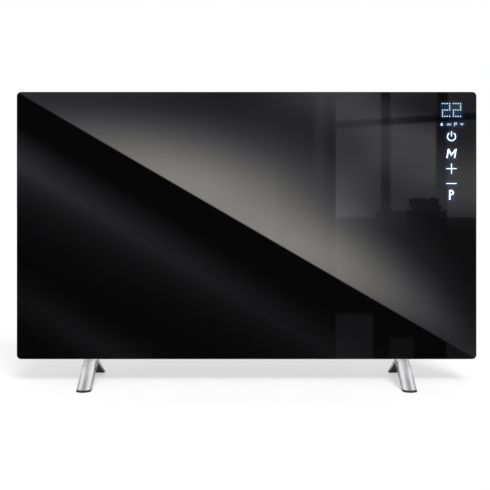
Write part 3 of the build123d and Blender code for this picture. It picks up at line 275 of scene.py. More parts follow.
eye = camera.location
card_front = glass_low.y - CARD_AHEAD
spread = (glass_low.y - eye.y + CARD_AHEAD) / (glass_low.y - eye.y)
card_profile = [(card_front, CARD_TOP), (card_front, CARD_FOOT), (card_front + CARD_SKIRT, 2 * MM)]
place = glossy_card("reflection_card", CARD_HALF_WIDTH, card_profile)
card_x, card_y, card_z = place.axes()
across = (card_x / spread - glass_low.x) / (glass_high.x - glass_low.x)
down = (glass_high.z - eye.z - (card_z - eye.z) / spread) / (glass_high.z - glass_low.z)

above = across - down
lit_side = above.ramp(-0.004, 0.004)
fan = above / (0.295 - 0.245 * down).math("MAXIMUM", 0.04)
swell = 0.08 + 0.92 * down.ramp(0.02, 0.36) * (1.0 - down.ramp(0.54, 0.95))
folds = 0.93 + 0.14 * place.stretched(30.0, 0.0, 0.6).noise(1.0, 2.0)
veil = 0.09 * fan.bell(1.75, 0.40) * (1.0 - 0.5 * down.ramp(0.45, 0.56))
fall = 1.0 - (fan + 0.12 * place.noise(2.3, 2.0)).ramp(0.14, 2.0) + veil
sweep = SWEEP_LEVEL * swell * folds * fall
dip = 0.7 * down.bell(0.10, 0.06) * across.bell(0.62, 0.06)
haze = (0.003 + 0.0055 * (1.0 - down.ramp(0.10, 0.50))) * (1.0 - dip)
bloom = 0.034 * across.bell(0.70, 0.13) * (1.0 - down.ramp(0.0, 0.22))

dusk = (down - 0.5 * across + 0.34).ramp(-0.05, 0.09)
panes = across.inside(*NEAR_PANE) + across.inside(*MIDDLE_PANE)
panes = panes * (0.020 + 0.025 * across.ramp(0.70, 0.82)) * dusk
panes = panes * (1.0 - 0.45 * down.ramp(0.22, 0.34) * across.bell(0.79, 0.06))
post = across.inside(*NEAR_POST)
panes = panes + 0.025 * post * down.ramp(0.08, 0.15) * (1.0 - 0.8 * down.ramp(0.22, 0.36))
panes = panes * (1.0 - 0.42 * down.ramp(0.30, 0.40)) * (1.0 - down.ramp(0.40, 0.56))
low_glow = 0.036 * down.ramp(0.22, 0.50) * (1.0 - 0.9 * across.ramp(0.69, 0.80))
panes = panes + low_glow * across.inside(*NEAR_PANE)
far_pane = across.inside(*FAR_PANE) + 0.55 * across.inside(*FAR_POST)
far_pane = far_pane * (0.006 + 0.037 * down.ramp(0.15, 0.34)) * (1.0 - down.ramp(0.38, 0.54))
ragged = place.noise(75.0, 3.0) * 0.05
tuft = (across + ragged).inside(*TUFT) * (down + ragged).ramp(0.420, 0.427)
ledge = across.inside(*LEDGE) * down.ramp(0.442, 0.447)
shade = (1.0 - tuft * 0.85) * (1.0 - ledge * 0.8) * (1.0 - 0.75 * down.ramp(*PANES_END))
panes = (panes + far_pane) * shade
side_strip = 0.006 * across.inside(0.648, 0.672, 0.008) * (1.0 - down.ramp(0.25, 0.45))
rail = (down + 0.11 * across - 0.20).inside(-0.013, 0.013, 0.005) * across.ramp(0.690, 0.698)
bars = 1.0 - rail * (0.35 + 0.45 * across.ramp(0.74, 0.92))
far_post = across.inside(0.914, 0.938, 0.003) * (1.0 - down.ramp(0.09, 0.24))
bars = bars * (1.0 - 0.83 * far_post) * (1.0 - 0.8 * post * (1.0 - down.ramp(0.0, 0.08)))

near_streak = down - 1.035 * across - 0.275
fade = (across * -2.5).math("EXPONENT")
tail = (near_streak.math("MAXIMUM", 0.0) * -13.0).math("EXPONENT")
streaks = 0.026 * fade * tail * near_streak.ramp(-0.17, 0.01)
streaks = streaks + (0.0036 + 0.0066 * across) * (down - 1.03 * across).bell(0.767, 0.075)
low_forms = across.inside(0.694, 0.775, 0.004) + across.inside(0.935, 1.3, 0.004)
low_forms = 0.005 * low_forms * down.ramp(0.82, 0.84)
low_forms = low_forms + 0.0035 * across.inside(0.811, 0.864, 0.004) * down.ramp(0.91, 0.93)

mirrored = (sweep + haze + bloom + panes + side_strip) * bars
level = 0.0012 + lit_side * mirrored + (1.0 - lit_side) * (streaks + low_forms)
warmth = (lit_side * sweep).ramp(0.0, 0.15)
shown = 1.0 - card_y.ramp(card_front, card_front + CARD_SKIRT)
shown = shown * (1.0 - abs(card_x).ramp(0.6, CARD_HALF_WIDTH)) * (1.0 - card_z.ramp(0.7, CARD_TOP))
light_card(place, level * CARD_LIGHT, shown, warmth.blend((0.92, 0.92, 1.0), (1.0, 0.975, 0.91)))


# Glass panel
# One sheet of 5 mm toughened glass, printed black on its back, with rounded corners and a
# ground edge. It glows faintly blue where the display shines through it.
GLASS_ARRIS = 0.4 * MM
GLASS_CORNER = 8.0 * MM
SHARP_ANGLE = math.radians(32)
MARK_BLUE = (0.03, 0.38, 0.95)
HALO_REACH = 4.0 * MM
HALO_LEVEL = 0.06
LIT_BOXES = (  # middle and half size, in mm, of what glows
    (383.4, 511.2, 17.0, 11.4),
    (384.3, 484.0, 19.5, 1.0),
    (383.3, 461.5, 7.0, 7.0),
    (383.3, 429.8, 7.5, 7.5),
    (383.3, 401.5, 9.2, 0.4),
    (383.3, 401.5, 0.4, 9.2),
    (383.3, 373.6, 9.0, 0.4),
    (382.8, 352.4, 3.0, 8.0),
)


def stand_for(piece, node, body="panel"):
    """The piece stands for a modelled part, which it hides, and rides on its body."""
    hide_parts(node)
    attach(piece, body)


def rounded_outline(half_width, half_height, radius, steps=12):
    """Points anticlockwise round a rectangle with rounded corners."""
    points = []
    for quarter, (side, level) in enumerate(((1, 1), (-1, 1), (-1, -1), (1, -1))):
        for step in range(steps + 1):
            angle = (quarter + step / steps) * math.pi / 2
            points.append(
                (
                    side * (half_width - radius) + radius * math.cos(angle),
                    level * (half_height - radius) + radius * math.sin(angle),
                )
            )
    return points


def skin(loops, closed=False):
    """A shell through loops of points, with its ends filled unless it closes on itself."""
    shell = bmesh.new()
    rows = [[shell.verts.new(point) for point in loop] for loop in loops]
    pairs = list(zip(rows, rows[1:])) + ([(rows[-1], rows[0])] if closed else [])
    for low, high in pairs:
        for index, vert in enumerate(low):
            after = (index + 1) % len(low)
            shell.faces.new((vert, low[after], high[after], high[index]))
    if not closed:
        shell.faces.new(rows[0][::-1])
        shell.faces.new(rows[-1])
    bmesh.ops.recalc_face_normals(shell, faces=shell.faces)
    return shell


def mesh_of(name, shell):
    mesh = bpy.data.meshes.new(name)
    shell.to_mesh(mesh)
    shell.free()
    return mesh


def add_mesh(name, mesh, material):
    """A piece made of a mesh, smooth except at its sharp edges."""
    mesh.name = name
    mesh.materials.clear()
    mesh.materials.append(material)
    mesh.polygons.foreach_set("use_smooth", [True] * len(mesh.polygons))
    mesh.set_sharp_from_angle(angle=SHARP_ANGLE)
    return add_object(name, mesh)


def add_piece(name, shell, material):
    return add_mesh(name, mesh_of(name, shell), material)


def glass_loop(inset, y):
    centre, half = (glass_low + glass_high) / 2, (glass_high - glass_low) / 2
    outline = rounded_outline(half.x - inset, half.z - inset, GLASS_CORNER - inset)
    return [(x, y, centre.z + z) for x, z in outline]


black_glass, place = finish("black_glass", (0.001, 0.001, 0.0012), IOR=1.52, Emission_Strength=1.0)
glass_x, glass_y, glass_z = place.axes()
glow_level = 0.0
for x, z, half_x, half_z in LIT_BOXES:
    reach_x = (abs(glass_x - x * MM) - half_x * MM).math("MAXIMUM", 0.0)
    reach_z = (abs(glass_z - z * MM) - half_z * MM).math("MAXIMUM", 0.0)
    reach = reach_x * reach_x + reach_z * reach_z
    glow_level = glow_level + (reach * (-1.0 / HALO_REACH**2)).math("EXPONENT")
on_face = 1.0 - (glass_y - glass_low.y).ramp(0.0, 0.3 * MM)
smears = place.stretched(3.0, 1.0, 7.0).noise(2.0, 4.0)
wire(
    black_glass,
    Roughness=0.012 + 0.03 * smears.ramp(0.55, 0.8) + (1.0 - on_face) * 0.22,
    Emission_Color=(glow_level * on_face * HALO_LEVEL).blend((0, 0, 0), MARK_BLUE),
)
glass_loops = [
    glass_loop(GLASS_ARRIS, glass_low.y),
    glass_loop(0.0, glass_low.y + GLASS_ARRIS),
    glass_loop(0.0, glass_high.y - GLASS_ARRIS),
    glass_loop(GLASS_ARRIS, glass_high.y),
]
glass = add_piece("glass_panel", skin(glass_loops), black_glass)
stand_for(glass, "front_glass")


# Lit marks
# What shines through the glass: two digits of small square lights, a row of little signs, and
# the touch marks for power, mode, more, less and programme. They are white with a blue halo.
MARK_PROUD = 0.06 * MM
DOT_SIZE = 2.15
DOT_CORNER = 0.7
DOT_PITCH_X = 4.45
DOT_PITCH_Z = 3.97
DIGIT_TWO = ("1111", "0001", "0001", "1111", "1000", "1000", "1111")
DIGIT_LEFTS = (366.5, 386.9)
DIGIT_TOP = 523.1
COLUMN_X = 383.3
POWER_Z = 461.5
MODE_Z = 429.8
MORE_Z = 401.5
LESS_Z = 373.6
PROGRAMME_Z = 352.3
ICON_Z = 484.1
POWER_RADIUS = 7.6
POWER_STROKE = 1.9
SIGN_HALF = 9.7
SIGN_STROKE = 1.45
MODE_SLANT = 0.17
ICON_STROKE = 0.8
ICON_XS = (364.9, 376.6, 380.6, 391.0, 402.9)
UPRIGHT = (math.pi / 2, 0, 0)


def shining(name, strength):
    """White light through the print of the glass, a little uneven."""
    material, place = finish(name, (0.7, 0.8, 0.9), Roughness=0.3, Emission_Strength=strength)
    wire(material, Emission_Color=place.noise(900.0, 1.0).blend((0.74, 0.90, 1.0), (0.93, 1.0, 1.0)))
    return material


digit_light = shining("digit_light", 0.25)
mark_light = shining("mark_light", 0.95)
icon_light = shining("icon_light", 0.15)


def new_tree(name, sizes):
    """A Geometry Nodes tree that takes a mesh and named sizes, as signals by name."""
    tree = bpy.data.node_groups.new(name, "GeometryNodeTree")
    tree.interface.new_socket("Mesh", in_out="INPUT", socket_type="NodeSocketGeometry")
    for label in sizes:
        tree.interface.new_socket(label, in_out="INPUT", socket_type="NodeSocketFloat")
    tree.interface.new_socket("Mesh", in_out="OUTPUT", socket_type="NodeSocketGeometry")
    entry = tree.nodes.new("NodeGroupInput")
    return {socket.name: Signal(tree, socket) for socket in entry.outputs if socket.name}


def lifted(shape, height):
    """A tree's shape, moved up."""
    offset = shape.node("ShaderNodeCombineXYZ", (), {2: height})
    return shape.node("GeometryNodeSetPosition", (), {"Geometry": shape, "Offset": offset})


def plain_mesh(piece):
    """The mesh of an object with its modifiers made real. The object itself is removed."""
    graph = bpy.context.evaluated_depsgraph_get()
    mesh = bpy.data.meshes.new_from_object(piece.evaluated_get(graph))
    piece.modifiers.clear()
    bpy.data.objects.remove(piece)
    return mesh


def grow(name, points, shape, turn, places, material, sizes):
    """The plain mesh of a tree's shape, turned and set on each of the places."""
    tree = points.tree
    values = {"Points": points, "Instance": shape, "Rotation": turn}
    made = points.node("GeometryNodeInstanceOnPoints", (), values)
    made = points.node("GeometryNodeRealizeInstances", (), {0: made})
    made = points.node("GeometryNodeSetMaterial", (), {"Geometry": made, "Material": material})
    tree.links.new(made.socket, tree.nodes.new("NodeGroupOutput").inputs[0])
    seed = bpy.data.meshes.new(name)
    seed.from_pydata(places, [], [])
    holder = add_object(name, seed)
    modifier = holder.modifiers.new("grow", "NODES")
    modifier.node_group = tree
    for item in tree.interface.items_tree:
        if item.in_out == "INPUT" and item.name in sizes:
            modifier[item.identifier] = sizes[item.name]
    return plain_mesh(holder)


def plate_mesh(name, places, width, height, corner, depth, turn, material=None):
    """Rounded plates centred on the places, facing along Z and then turned about X."""
    sizes = {"Width": width, "Height": height, "Corner": corner, "Depth": depth}
    given = new_tree(name, sizes)
    base = given["Mesh"]
    values = {"Width": given["Width"], "Height": given["Height"]}
    edge = base.node("GeometryNodeCurvePrimitiveQuadrilateral", (), values)
    values = {"Curve": edge, "Radius": given["Corner"], "Count": 8}
    rounded = base.node("GeometryNodeFilletCurve", {"mode": "POLY"}, values)
    face = base.node("GeometryNodeFillCurve", {"mode": "NGONS"}, {"Curve": rounded})
    face = lifted(face, given["Depth"] * -0.5)
    rise = base.node("ShaderNodeCombineXYZ", (), {2: given["Depth"]})
    values = {"Mesh": face, "Offset": rise, "Offset Scale": 1.0, "Individual": False}
    raised = base.node("GeometryNodeExtrudeMesh", (), values)
    under = base.node("GeometryNodeFlipFaces", (), {"Mesh": face})
    whole = base.node("GeometryNodeJoinGeometry", (), {0: [raised, under]})
    whole = base.node("GeometryNodeMergeByDistance", (), {"Geometry": whole, "Distance": 1e-6})
    return grow(name, base, whole, turn, places, material, sizes)


def show_mark(name, mesh, material):
    """A lit mark on the glass, which the scene alone has."""
    piece = add_mesh(name, mesh, material)
    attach(piece, "panel")


def show_sign(name, shell, material):
    bmesh.ops.recalc_face_normals(shell, faces=shell.faces)
    show_mark(name, mesh_of(name, shell), material)


mark_y = glass_low.y - MARK_PROUD / 2
dots = [
    ((left + column * DOT_PITCH_X) * MM, mark_y, (DIGIT_TOP - row * DOT_PITCH_Z) * MM)
    for left in DIGIT_LEFTS
    for row, line in enumerate(DIGIT_TWO)
    for column, on in enumerate(line)
    if on == "1"
]
dot = (DOT_SIZE * MM, DOT_SIZE * MM, DOT_CORNER * MM, MARK_PROUD)
show_mark("display_digits", plate_mesh("digits", dots, *dot, UPRIGHT, digit_light), digit_light)


def add_prism(shell, outline):
    """A flat closed shape on the glass face, from its outline in mm."""
    front = [shell.verts.new((x * MM, glass_low.y - MARK_PROUD, z * MM)) for x, z in outline]
    back = [shell.verts.new((x * MM, glass_low.y, z * MM)) for x, z in outline]
    shell.faces.new(front)
    shell.faces.new(back[::-1])
    for index, vert in enumerate(front):
        after = (index + 1) % len(front)
        shell.faces.new((vert, back[index], back[after], front[after]))


def add_bar(shell, x, z, half_x, half_z):
    """A flat bar about x, z, in mm."""
    corners = ((-1, -1), (1, -1), (1, 1), (-1, 1))
    add_prism(shell, [(x + side * half_x, z + level * half_z) for side, level in corners])


def add_arc(shell, x, z, radius, stroke, first, last, steps=40):
    """A curved bar about x, z, in mm, between two angles in degrees."""
    rims = []
    for rim in (radius + stroke / 2, radius - stroke / 2):
        angles = [math.radians(first + (last - first) * step / steps) for step in range(steps + 1)]
        rims.append([(x + rim * math.cos(angle), z + rim * math.sin(angle)) for angle in angles])
    outer, inner = rims
    for index in range(steps):
        add_prism(shell, [outer[index], outer[index + 1], inner[index + 1], inner[index]])


def add_square_ring(shell, x, z, half, stroke):
    offset = half - stroke / 2
    for side in (-1, 1):
        add_bar(shell, x + side * offset, z, stroke / 2, half)
        add_bar(shell, x, z + side * offset, half, stroke / 2)


def add_p(shell, x, z, half_x, half_z, stroke):
    """A plain P: its stem, and a bowl of two bars and a curve."""
    left = x - half_x
    top = z + half_z
    radius = 0.54 * half_z - stroke / 2
    bend = x + half_x - radius - stroke / 2
    add_bar(shell, left + stroke / 2, z, stroke / 2, half_z)
    for level in (top - stroke / 2, top - stroke / 2 - 2 * radius):
        reach = (bend - left - stroke) / 2
        if reach > 0:
            add_bar(shell, left + stroke + reach, level, reach, stroke / 2)
    add_arc(shell, max(bend, left + stroke), top - stroke / 2 - radius, radius, stroke, -90.0, 90.0, 24)


signs = bmesh.new()
add_arc(signs, COLUMN_X, POWER_Z, POWER_RADIUS, POWER_STROKE, -236.0, 56.0)
add_bar(signs, COLUMN_X, POWER_Z + 5.0, POWER_STROKE / 2, 4.7)
for z in (MORE_Z, LESS_Z):
    add_bar(signs, COLUMN_X, z, SIGN_HALF, SIGN_STROKE / 2)
arm = (SIGN_HALF - SIGN_STROKE / 2) / 2
for side in (-1, 1):
    add_bar(signs, COLUMN_X, MORE_Z + side * (SIGN_STROKE / 2 + arm), SIGN_STROKE / 2, arm)
show_sign("touch_signs", signs, mark_light)

drop_x, first_ring_x, second_ring_x, letter_x, waves_x = ICON_XS
icons = bmesh.new()
drop = [(-2.6, -0.8), (-1.2, -2.4), (1.2, -2.4), (2.6, -0.8), (1.6, 1.2), (0.0, 3.6), (-1.6, 1.2)]
add_prism(icons, [(drop_x + x, ICON_Z + z) for x, z in drop])
for x in (first_ring_x, second_ring_x):
    add_square_ring(icons, x, ICON_Z, 1.7, ICON_STROKE)
for radius in (0.9, 2.7, 4.5):
    add_arc(icons, waves_x, ICON_Z - 2.6, radius, ICON_STROKE, 45.0, 135.0, 10)
show_sign("display_icons", icons, icon_light)

letters = bmesh.new()
half_m = [(0.0, -5.2), (5.8, 4.0), (5.8, -8.5), (8.3, -8.5), (8.3, 8.5), (5.6, 8.5), (0.0, -0.6)]
whole_m = half_m + [(-x, z) for x, z in half_m[-2:0:-1]]
add_prism(letters, [(COLUMN_X + x + MODE_SLANT * z, MODE_Z + z) for x, z in whole_m])
add_p(letters, COLUMN_X, PROGRAMME_Z, 4.6, 9.2, 2.6)
show_sign("touch_letters", letters, mark_light)

small_letter = bmesh.new()
add_p(small_letter, letter_x, ICON_Z, 2.7, 3.5, 1.0)
show_sign("small_letter", small_letter, icon_light)


# Rear case
# A shallow pan pressed from 1.2 mm steel and powder coated black, with a shallow field pressed
# into its back, punched vents, two keyholes and the opening for the switch.
CASE_CORNER = 6.0 * MM
CASE_BEND = 4.0 * MM
CASE_SHEET = 1.2 * MM
FIELD_HALF = (320.0 * MM, 165.0 * MM)
FIELD_CORNER = 22.0 * MM
FIELD_DEPTH = 2.0 * MM
FIELD_SLOPE = 4.2 * MM
FIELD_DROP = 12.0 * MM
BEND_STEPS = 8
VENT_SIZE = (58.0 * MM, 5.0 * MM)
VENT_PITCH = 78.0 * MM
VENT_COLUMNS = 9
VENT_INSETS = (20.0 * MM, 34.0 * MM)
WALL_VENT_Y = 8.0 * MM
FOOT_CLEARANCE = 66.0 * MM
KEYHOLE_X = 250.0 * MM
KEYHOLE_DROP = 66.0 * MM
KEYHOLE_ENTRY = (10.0 * MM, 10.0 * MM)
KEYHOLE_SLOT = (5.0 * MM, 13.5 * MM)
SWITCH_OPENING = (0.006, 0.0132, 0.0193)
PUNCH_DEPTH = 8.0 * MM

case_low, case_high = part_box("rear_case")
case_half = (case_high - case_low) / 2
case_z = (case_low.z + case_high.z) / 2


def pan_loop(half_x, half_z, corner, y, z):
    return [(x, y, z + level) for x, level in rounded_outline(half_x, half_z, corner, 10)]


pan_loops = [pan_loop(case_half.x, case_half.z, CASE_CORNER, case_low.y, case_z)]
for step in range(BEND_STEPS + 1):
    angle = math.pi / 2 * step / BEND_STEPS
    inset = CASE_BEND * (1 - math.cos(angle))
    y = case_high.y - CASE_BEND * (1 - math.sin(angle))
    pan_loops.append(pan_loop(case_half.x - inset, case_half.z - inset, CASE_CORNER - inset, y, case_z))
for step in range(BEND_STEPS + 1):
    part = step / BEND_STEPS
    half_x, half_z, corner = [size - FIELD_SLOPE * part for size in (*FIELD_HALF, FIELD_CORNER)]
    y = case_high.y - FIELD_DEPTH * (1 - math.cos(math.pi * part)) / 2
    pan_loops.append(pan_loop(half_x, half_z, corner, y, case_z - FIELD_DROP))

pan = skin(pan_loops)
front_cap = min(pan.faces, key=lambda face: face.calc_center_median().y)
bmesh.ops.delete(pan, geom=[front_cap], context="FACES_ONLY")

powder_coat, place = finish("powder_coat", (0.016, 0.016, 0.018))
peel = place.noise(1500.0, 2.0)
drift = place.noise(9.0, 3.0)
wire(
    powder_coat,
    Base_Color=drift.ramp(0.3, 0.75).blend((0.014, 0.014, 0.016), (0.026, 0.026, 0.029)),
    Roughness=0.46 + 0.10 * peel + 0.06 * drift,
    Normal=peel.bump(0.05, 0.55),
)


def finished(piece):
    """The piece with its modifiers made real, under the same name."""
    name, material = piece.name, piece.data.materials[0]
    return add_mesh(name, plain_mesh(piece), material)


def cut(piece, cutters, operation="DIFFERENCE"):
    """The piece after cutting each cutter mesh from it, or adding it."""
    for cutter_mesh in cutters:
        cutter = add_object("cutter", cutter_mesh)
        modifier = piece.modifiers.new("cut", "BOOLEAN")
        modifier.object = cutter
        modifier.operation = operation
        modifier.solver = "EXACT"
        piece = finished(piece)
        bpy.data.objects.remove(cutter)
    return piece


def punch(name, places, size, turn=UPRIGHT):
    """Cutters for openings with rounded ends."""
    return plate_mesh(name, places, *size, 0.49 * min(size), PUNCH_DEPTH, turn)


case = add_piece("rear_case_shell", pan, powder_coat)
walls = case.modifiers.new("sheet", "SOLIDIFY")
walls.thickness = CASE_SHEET
walls.offset = -1.0
walls.use_even_offset = True
case = finished(case)

low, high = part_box("right_leg")
foot_x = (low.x + high.x) / 2
columns = [(index - (VENT_COLUMNS - 1) / 2) * VENT_PITCH for index in range(VENT_COLUMNS)]
rows = [case_high.z - inset for inset in VENT_INSETS] + [case_low.z + inset for inset in VENT_INSETS]
wall_slots = [(x, WALL_VENT_Y, case_high.z) for x in columns]
wall_slots += [(x, WALL_VENT_Y, case_low.z) for x in columns if abs(abs(x) - foot_x) > FOOT_CLEARANCE]
keyholes = [(x, case_high.y - FIELD_DEPTH, case_high.z - KEYHOLE_DROP) for x in (-KEYHOLE_X, KEYHOLE_X)]
switch_opening = bmesh.new()
bmesh.ops.create_cube(switch_opening, size=1.0)
low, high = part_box("switch_housing")
opening_middle = (case_high.x - CASE_SHEET / 2, (low.y + high.y) / 2, (low.z + high.z) / 2)
for vert in switch_opening.verts:
    sizes = zip(opening_middle, vert.co, SWITCH_OPENING)
    vert.co = [centre + share * size for centre, share, size in sizes]
cutters = [
    punch("back_vents", [(x, case_high.y, z) for z in rows for x in columns], VENT_SIZE),
    punch("wall_vents", wall_slots, VENT_SIZE, (0, 0, 0)),
    punch("keyhole_entries", keyholes, KEYHOLE_ENTRY),
    punch("keyhole_slots", [(x, y, z + KEYHOLE_SLOT[1] / 2) for x, y, z in keyholes], KEYHOLE_SLOT),
    mesh_of("switch_opening", switch_opening),
]
stand_for(cut(case, cutters), "rear_case")


# Feet
# Each foot is a D-shaped aluminium bar bent into a wide inverted V and satin anodised, with a
# short neck and a flange welded on top for its two screws. The crown of the D faces outwards.
FOOT_SPAN = 210.0 * MM
APEX = 43.8 * MM
LIMB_HALF = 13.0 * MM
LIMB_EDGE = 7.0 * MM
LIMB_CROWN = 3.2 * MM
LIMB_SHOULDER = 0.96 * MM
BACK_ROUND = 0.72 * MM
CROWN_STEPS = 14
UNDER_ROUND = 25.0 * MM
SOLE = 3.0 * MM
SLOPE = math.atan2(APEX, FOOT_SPAN / 2)
FLANGE_Y = 2.0 * MM
NECK_HALF = (12.5, 13.8)  # neck and flange: half sizes, levels and insets in mm
NECK_FOOT = 36.0
NECK_FLARE_FROM = 44.0
NECK_FLARE = 3.0
NECK_TOP = 48.0
FLANGE_HALF = (37.0, 14.0)
FLANGE_LEVELS = ((0.5, 47.0), (0.0, 47.5), (0.0, 49.6), (0.4, 50.0))


def limb_section():
    """The D section as pairs: across, and out from the line of the bar's edges."""
    radius = (LIMB_HALF**2 + LIMB_CROWN**2) / (2 * LIMB_CROWN)
    reach = math.asin(LIMB_HALF / radius)
    turns = [reach * (step / CROWN_STEPS - 1) for step in range(1, 2 * CROWN_STEPS)]
    crown = [(radius * math.sin(turn), LIMB_CROWN - radius * (1 - math.cos(turn))) for turn in turns]
    right = [(LIMB_HALF, -LIMB_SHOULDER)]
    for step in range(5):
        angle = math.pi / 2 * step / 4
        across = LIMB_HALF - BACK_ROUND * (1 - math.cos(angle))
        right.append((across, BACK_ROUND * (1 - math.sin(angle)) - LIMB_EDGE))
    left = [(-x, out) for x, out in reversed(right)]
    return crown + right + left


def limb_line(out, level, side):
    """Where the line of the bar at a distance out from its edges meets a level, in Y."""
    return side * (FOOT_SPAN / 2 + (out / math.cos(SLOPE) - level) / math.tan(SLOPE))


def foot_loops(middle_x):
    """Loops of the bar from its front sole, over the bend, to its back sole."""
    loops = []
    turns = [SLOPE * (step / 6 - 1) for step in range(13)]
    for across, out in limb_section():
        bend = UNDER_ROUND + LIMB_EDGE + out
        centre = APEX + out / math.cos(SLOPE) - bend / math.cos(SLOPE)
        line = [(limb_line(out, SOLE, -1), SOLE)]
        line += [(bend * math.sin(turn), centre + bend * math.cos(turn)) for turn in turns]
        line += [(limb_line(out, SOLE, 1), SOLE)]
        loops.append([(middle_x + across, y, z) for y, z in line])
    return [list(row) for row in zip(*loops)]


satin_aluminium, place = finish("satin_aluminium", Metallic=1.0)
grain = place.stretched(2600.0, 26.0, 26.0).noise(1.0, 2.0)
cloud = place.noise(38.0, 3.0)
_, _, foot_z = place.axes()
facing_x, _, facing_z = place.node("ShaderNodeTexCoord", output="Normal").axes()
# Painted shade: the base colour goes almost black on faces that look down, a little less higher up, and
# darker on faces that look sideways.
under = (facing_z * -1.0).ramp(0.75, 0.88)
painted_shade = 1.0 - under * (0.97 - 0.20 * foot_z.ramp(6 * MM, 24 * MM))
painted_shade = painted_shade * (1.0 - 0.72 * abs(facing_x).ramp(0.80, 0.95))
bright = (grain * 0.5 + cloud * 0.5).blend((0.72, 0.725, 0.74), (0.86, 0.865, 0.87))
wire(
    satin_aluminium,
    Base_Color=painted_shade.blend((0.0, 0.0, 0.0), bright),
    Roughness=0.26 + 0.10 * grain + 0.15 * under,
    Normal=grain.bump(0.012, 0.5),
)


def flat_loop(half_x, half_y, corner, middle_x, level):
    """A level loop of a foot's neck or flange, in mm except for its middle."""
    outline = rounded_outline(half_x * MM, half_y * MM, corner * MM, 8)
    return [(middle_x + across, FLANGE_Y + deep, level * MM) for across, deep in outline]


for node in ("left_leg", "right_leg"):
    low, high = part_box(node)
    x = (low.x + high.x) / 2
    foot = add_piece(f"{node}_bar", skin(foot_loops(x)), satin_aluminium)
    half_x, half_y = NECK_HALF
    neck = [flat_loop(half_x, half_y, 1.0, x, NECK_FOOT)]
    for step in range(6):
        angle = math.pi / 2 * step / 5
        grown = NECK_FLARE * (1 - math.cos(angle))
        level = NECK_FLARE_FROM + NECK_FLARE * math.sin(angle)
        neck.append(flat_loop(half_x + grown, half_y, 1.0, x, level))
    neck.append(flat_loop(half_x + NECK_FLARE, half_y, 1.0, x, NECK_TOP))
    half_x, half_y = FLANGE_HALF
    flange = [flat_loop(half_x - inset, half_y - inset, 6.0, x, level) for inset, level in FLANGE_LEVELS]
    foot = cut(foot, [mesh_of("neck", skin(neck)), mesh_of("flange", skin(flange))], "UNION")
    stand_for(foot, node)


# Foot light
# The bright faces of the feet mirror two bands of light, as in a white studio, and their inner
# faces mirror a dark ground. Only glossy rays near the feet meet these two cards.
LIGHT_PROFILE = ((20.0, 44.4), (-25.0, 44.4), (-26.0, 27.0), (-26.0, 450.0))
DARK_PROFILE = ((25.0, 1.0), (150.0, 1.0))
FOOT_CARD_HALF = 0.45
CARD_FALL = 0.558  # how fast the band's foot falls towards the camera
DARK_LEVEL = 0.12


def foot_card(name, profile):
    return glossy_card(name, FOOT_CARD_HALF, [(y * MM, z * MM) for y, z in profile])


place = foot_card("foot_light_card", LIGHT_PROFILE)
card_x, card_y, card_z = place.axes()
rise = card_z - CARD_FALL * card_y - 30 * MM
lean = (abs(card_x) - foot_x) / rise - 0.24
sides = lean.math("MAXIMUM", 0.0) / 0.24 + lean.math("MINIMUM", 0.0) / 0.44
valley = sides.bell(0.0, 1.0) * (0.54 + 0.42 * card_z.ramp(50 * MM, 110 * MM))
rims = lean.ramp(-0.94, -0.64) * (1.0 - lean.ramp(0.72, 0.94))
gain = (1.25 - 0.06 * sides) * (0.78 + 0.22 * rise.ramp(22 * MM, 60 * MM))
bands = 0.05 + gain * rims * (1.0 - valley)
light_card(place, DARK_LEVEL + rise.ramp(16.5 * MM, 23 * MM) * (bands - DARK_LEVEL), 1.0)

place = foot_card("foot_dark_card", DARK_PROFILE)
card_x, _, _ = place.axes()
light_card(place, DARK_LEVEL, 1.0 - abs(abs(card_x) - foot_x).ramp(20 * MM, 32 * MM))


# Bead and carrier
# A bead of black silicone bonds the glass to a bent ring of zinc-plated steel, whose back flange
# carries the case screws and the straps.
def dress(material, *names):
    """Puts a material on modelled parts as they are."""
    for name in names:
        for slot in nodes[name].material_slots:
            slot.material = material


def eased(name, width, material, body="panel"):
    """The modelled part with its sharp edges rounded by a width in mm."""
    shell = bmesh.new()
    shell.from_mesh(nodes[name].data)
    bmesh.ops.remove_doubles(shell, verts=shell.verts, dist=1e-6)
    flat, sharp = math.radians(0.5), math.radians(30)
    bmesh.ops.dissolve_limit(shell, angle_limit=flat, verts=shell.verts, edges=shell.edges)
    bent = [edge for edge in shell.edges if edge.is_manifold and edge.calc_face_angle() > sharp]
    bmesh.ops.bevel(
        shell, geom=bent, offset=width * MM, segments=2, profile=0.5, affect="EDGES", clamp_overlap=True
    )
    bmesh.ops.recalc_face_normals(shell, faces=shell.faces)
    stand_for(add_piece(f"{name}_eased", shell, material), name, body)


def grained(name, colour, scale, detail, gloss, relief):
    """A finish of one colour, whose fine grain varies its gloss and its surface."""
    material, place = finish(name, colour)
    grain = place.noise(scale, detail)
    wire(material, Roughness=gloss[0] + gloss[1] * grain, Normal=grain.bump(*relief))
    return material


silicone = grained("silicone", (0.018, 0.018, 0.019), 120.0, 2.0, (0.42, 0.2), (0.3, 0.6))
dress(silicone, "glass_bead")

zinc_plate, place = finish("zinc_plate", Metallic=1.0)
mottle = place.noise(55.0, 4.0)
wire(
    zinc_plate,
    Base_Color=mottle.ramp(0.3, 0.7).blend((0.50, 0.51, 0.54), (0.68, 0.69, 0.71)),
    Roughness=0.30 + 0.20 * mottle,
    Normal=place.noise(1100.0, 2.0).bump(0.01, 0.5),
)
eased("glass_carrier", 0.3, zinc_plate)


# Heating laminate
# A meander of rolled resistance foil lies between two mica sheets, with brass tabs for its
# leads. Behind it are a crinkled reflector foil and a board of mineral wool.
mica, place = finish("mica")
flakes = place.cells(75.0)
specks = place.cells(260.0)
wire(
    mica,
    Base_Color=(flakes * 0.7 + specks * 0.5).blend((0.70, 0.62, 0.45), (0.36, 0.27, 0.15)),
    Roughness=0.28 + 0.35 * flakes,
    Normal=(flakes + specks * 0.4).bump(0.08, 0.6),
)
dress(mica, "mica_front", "mica_back")

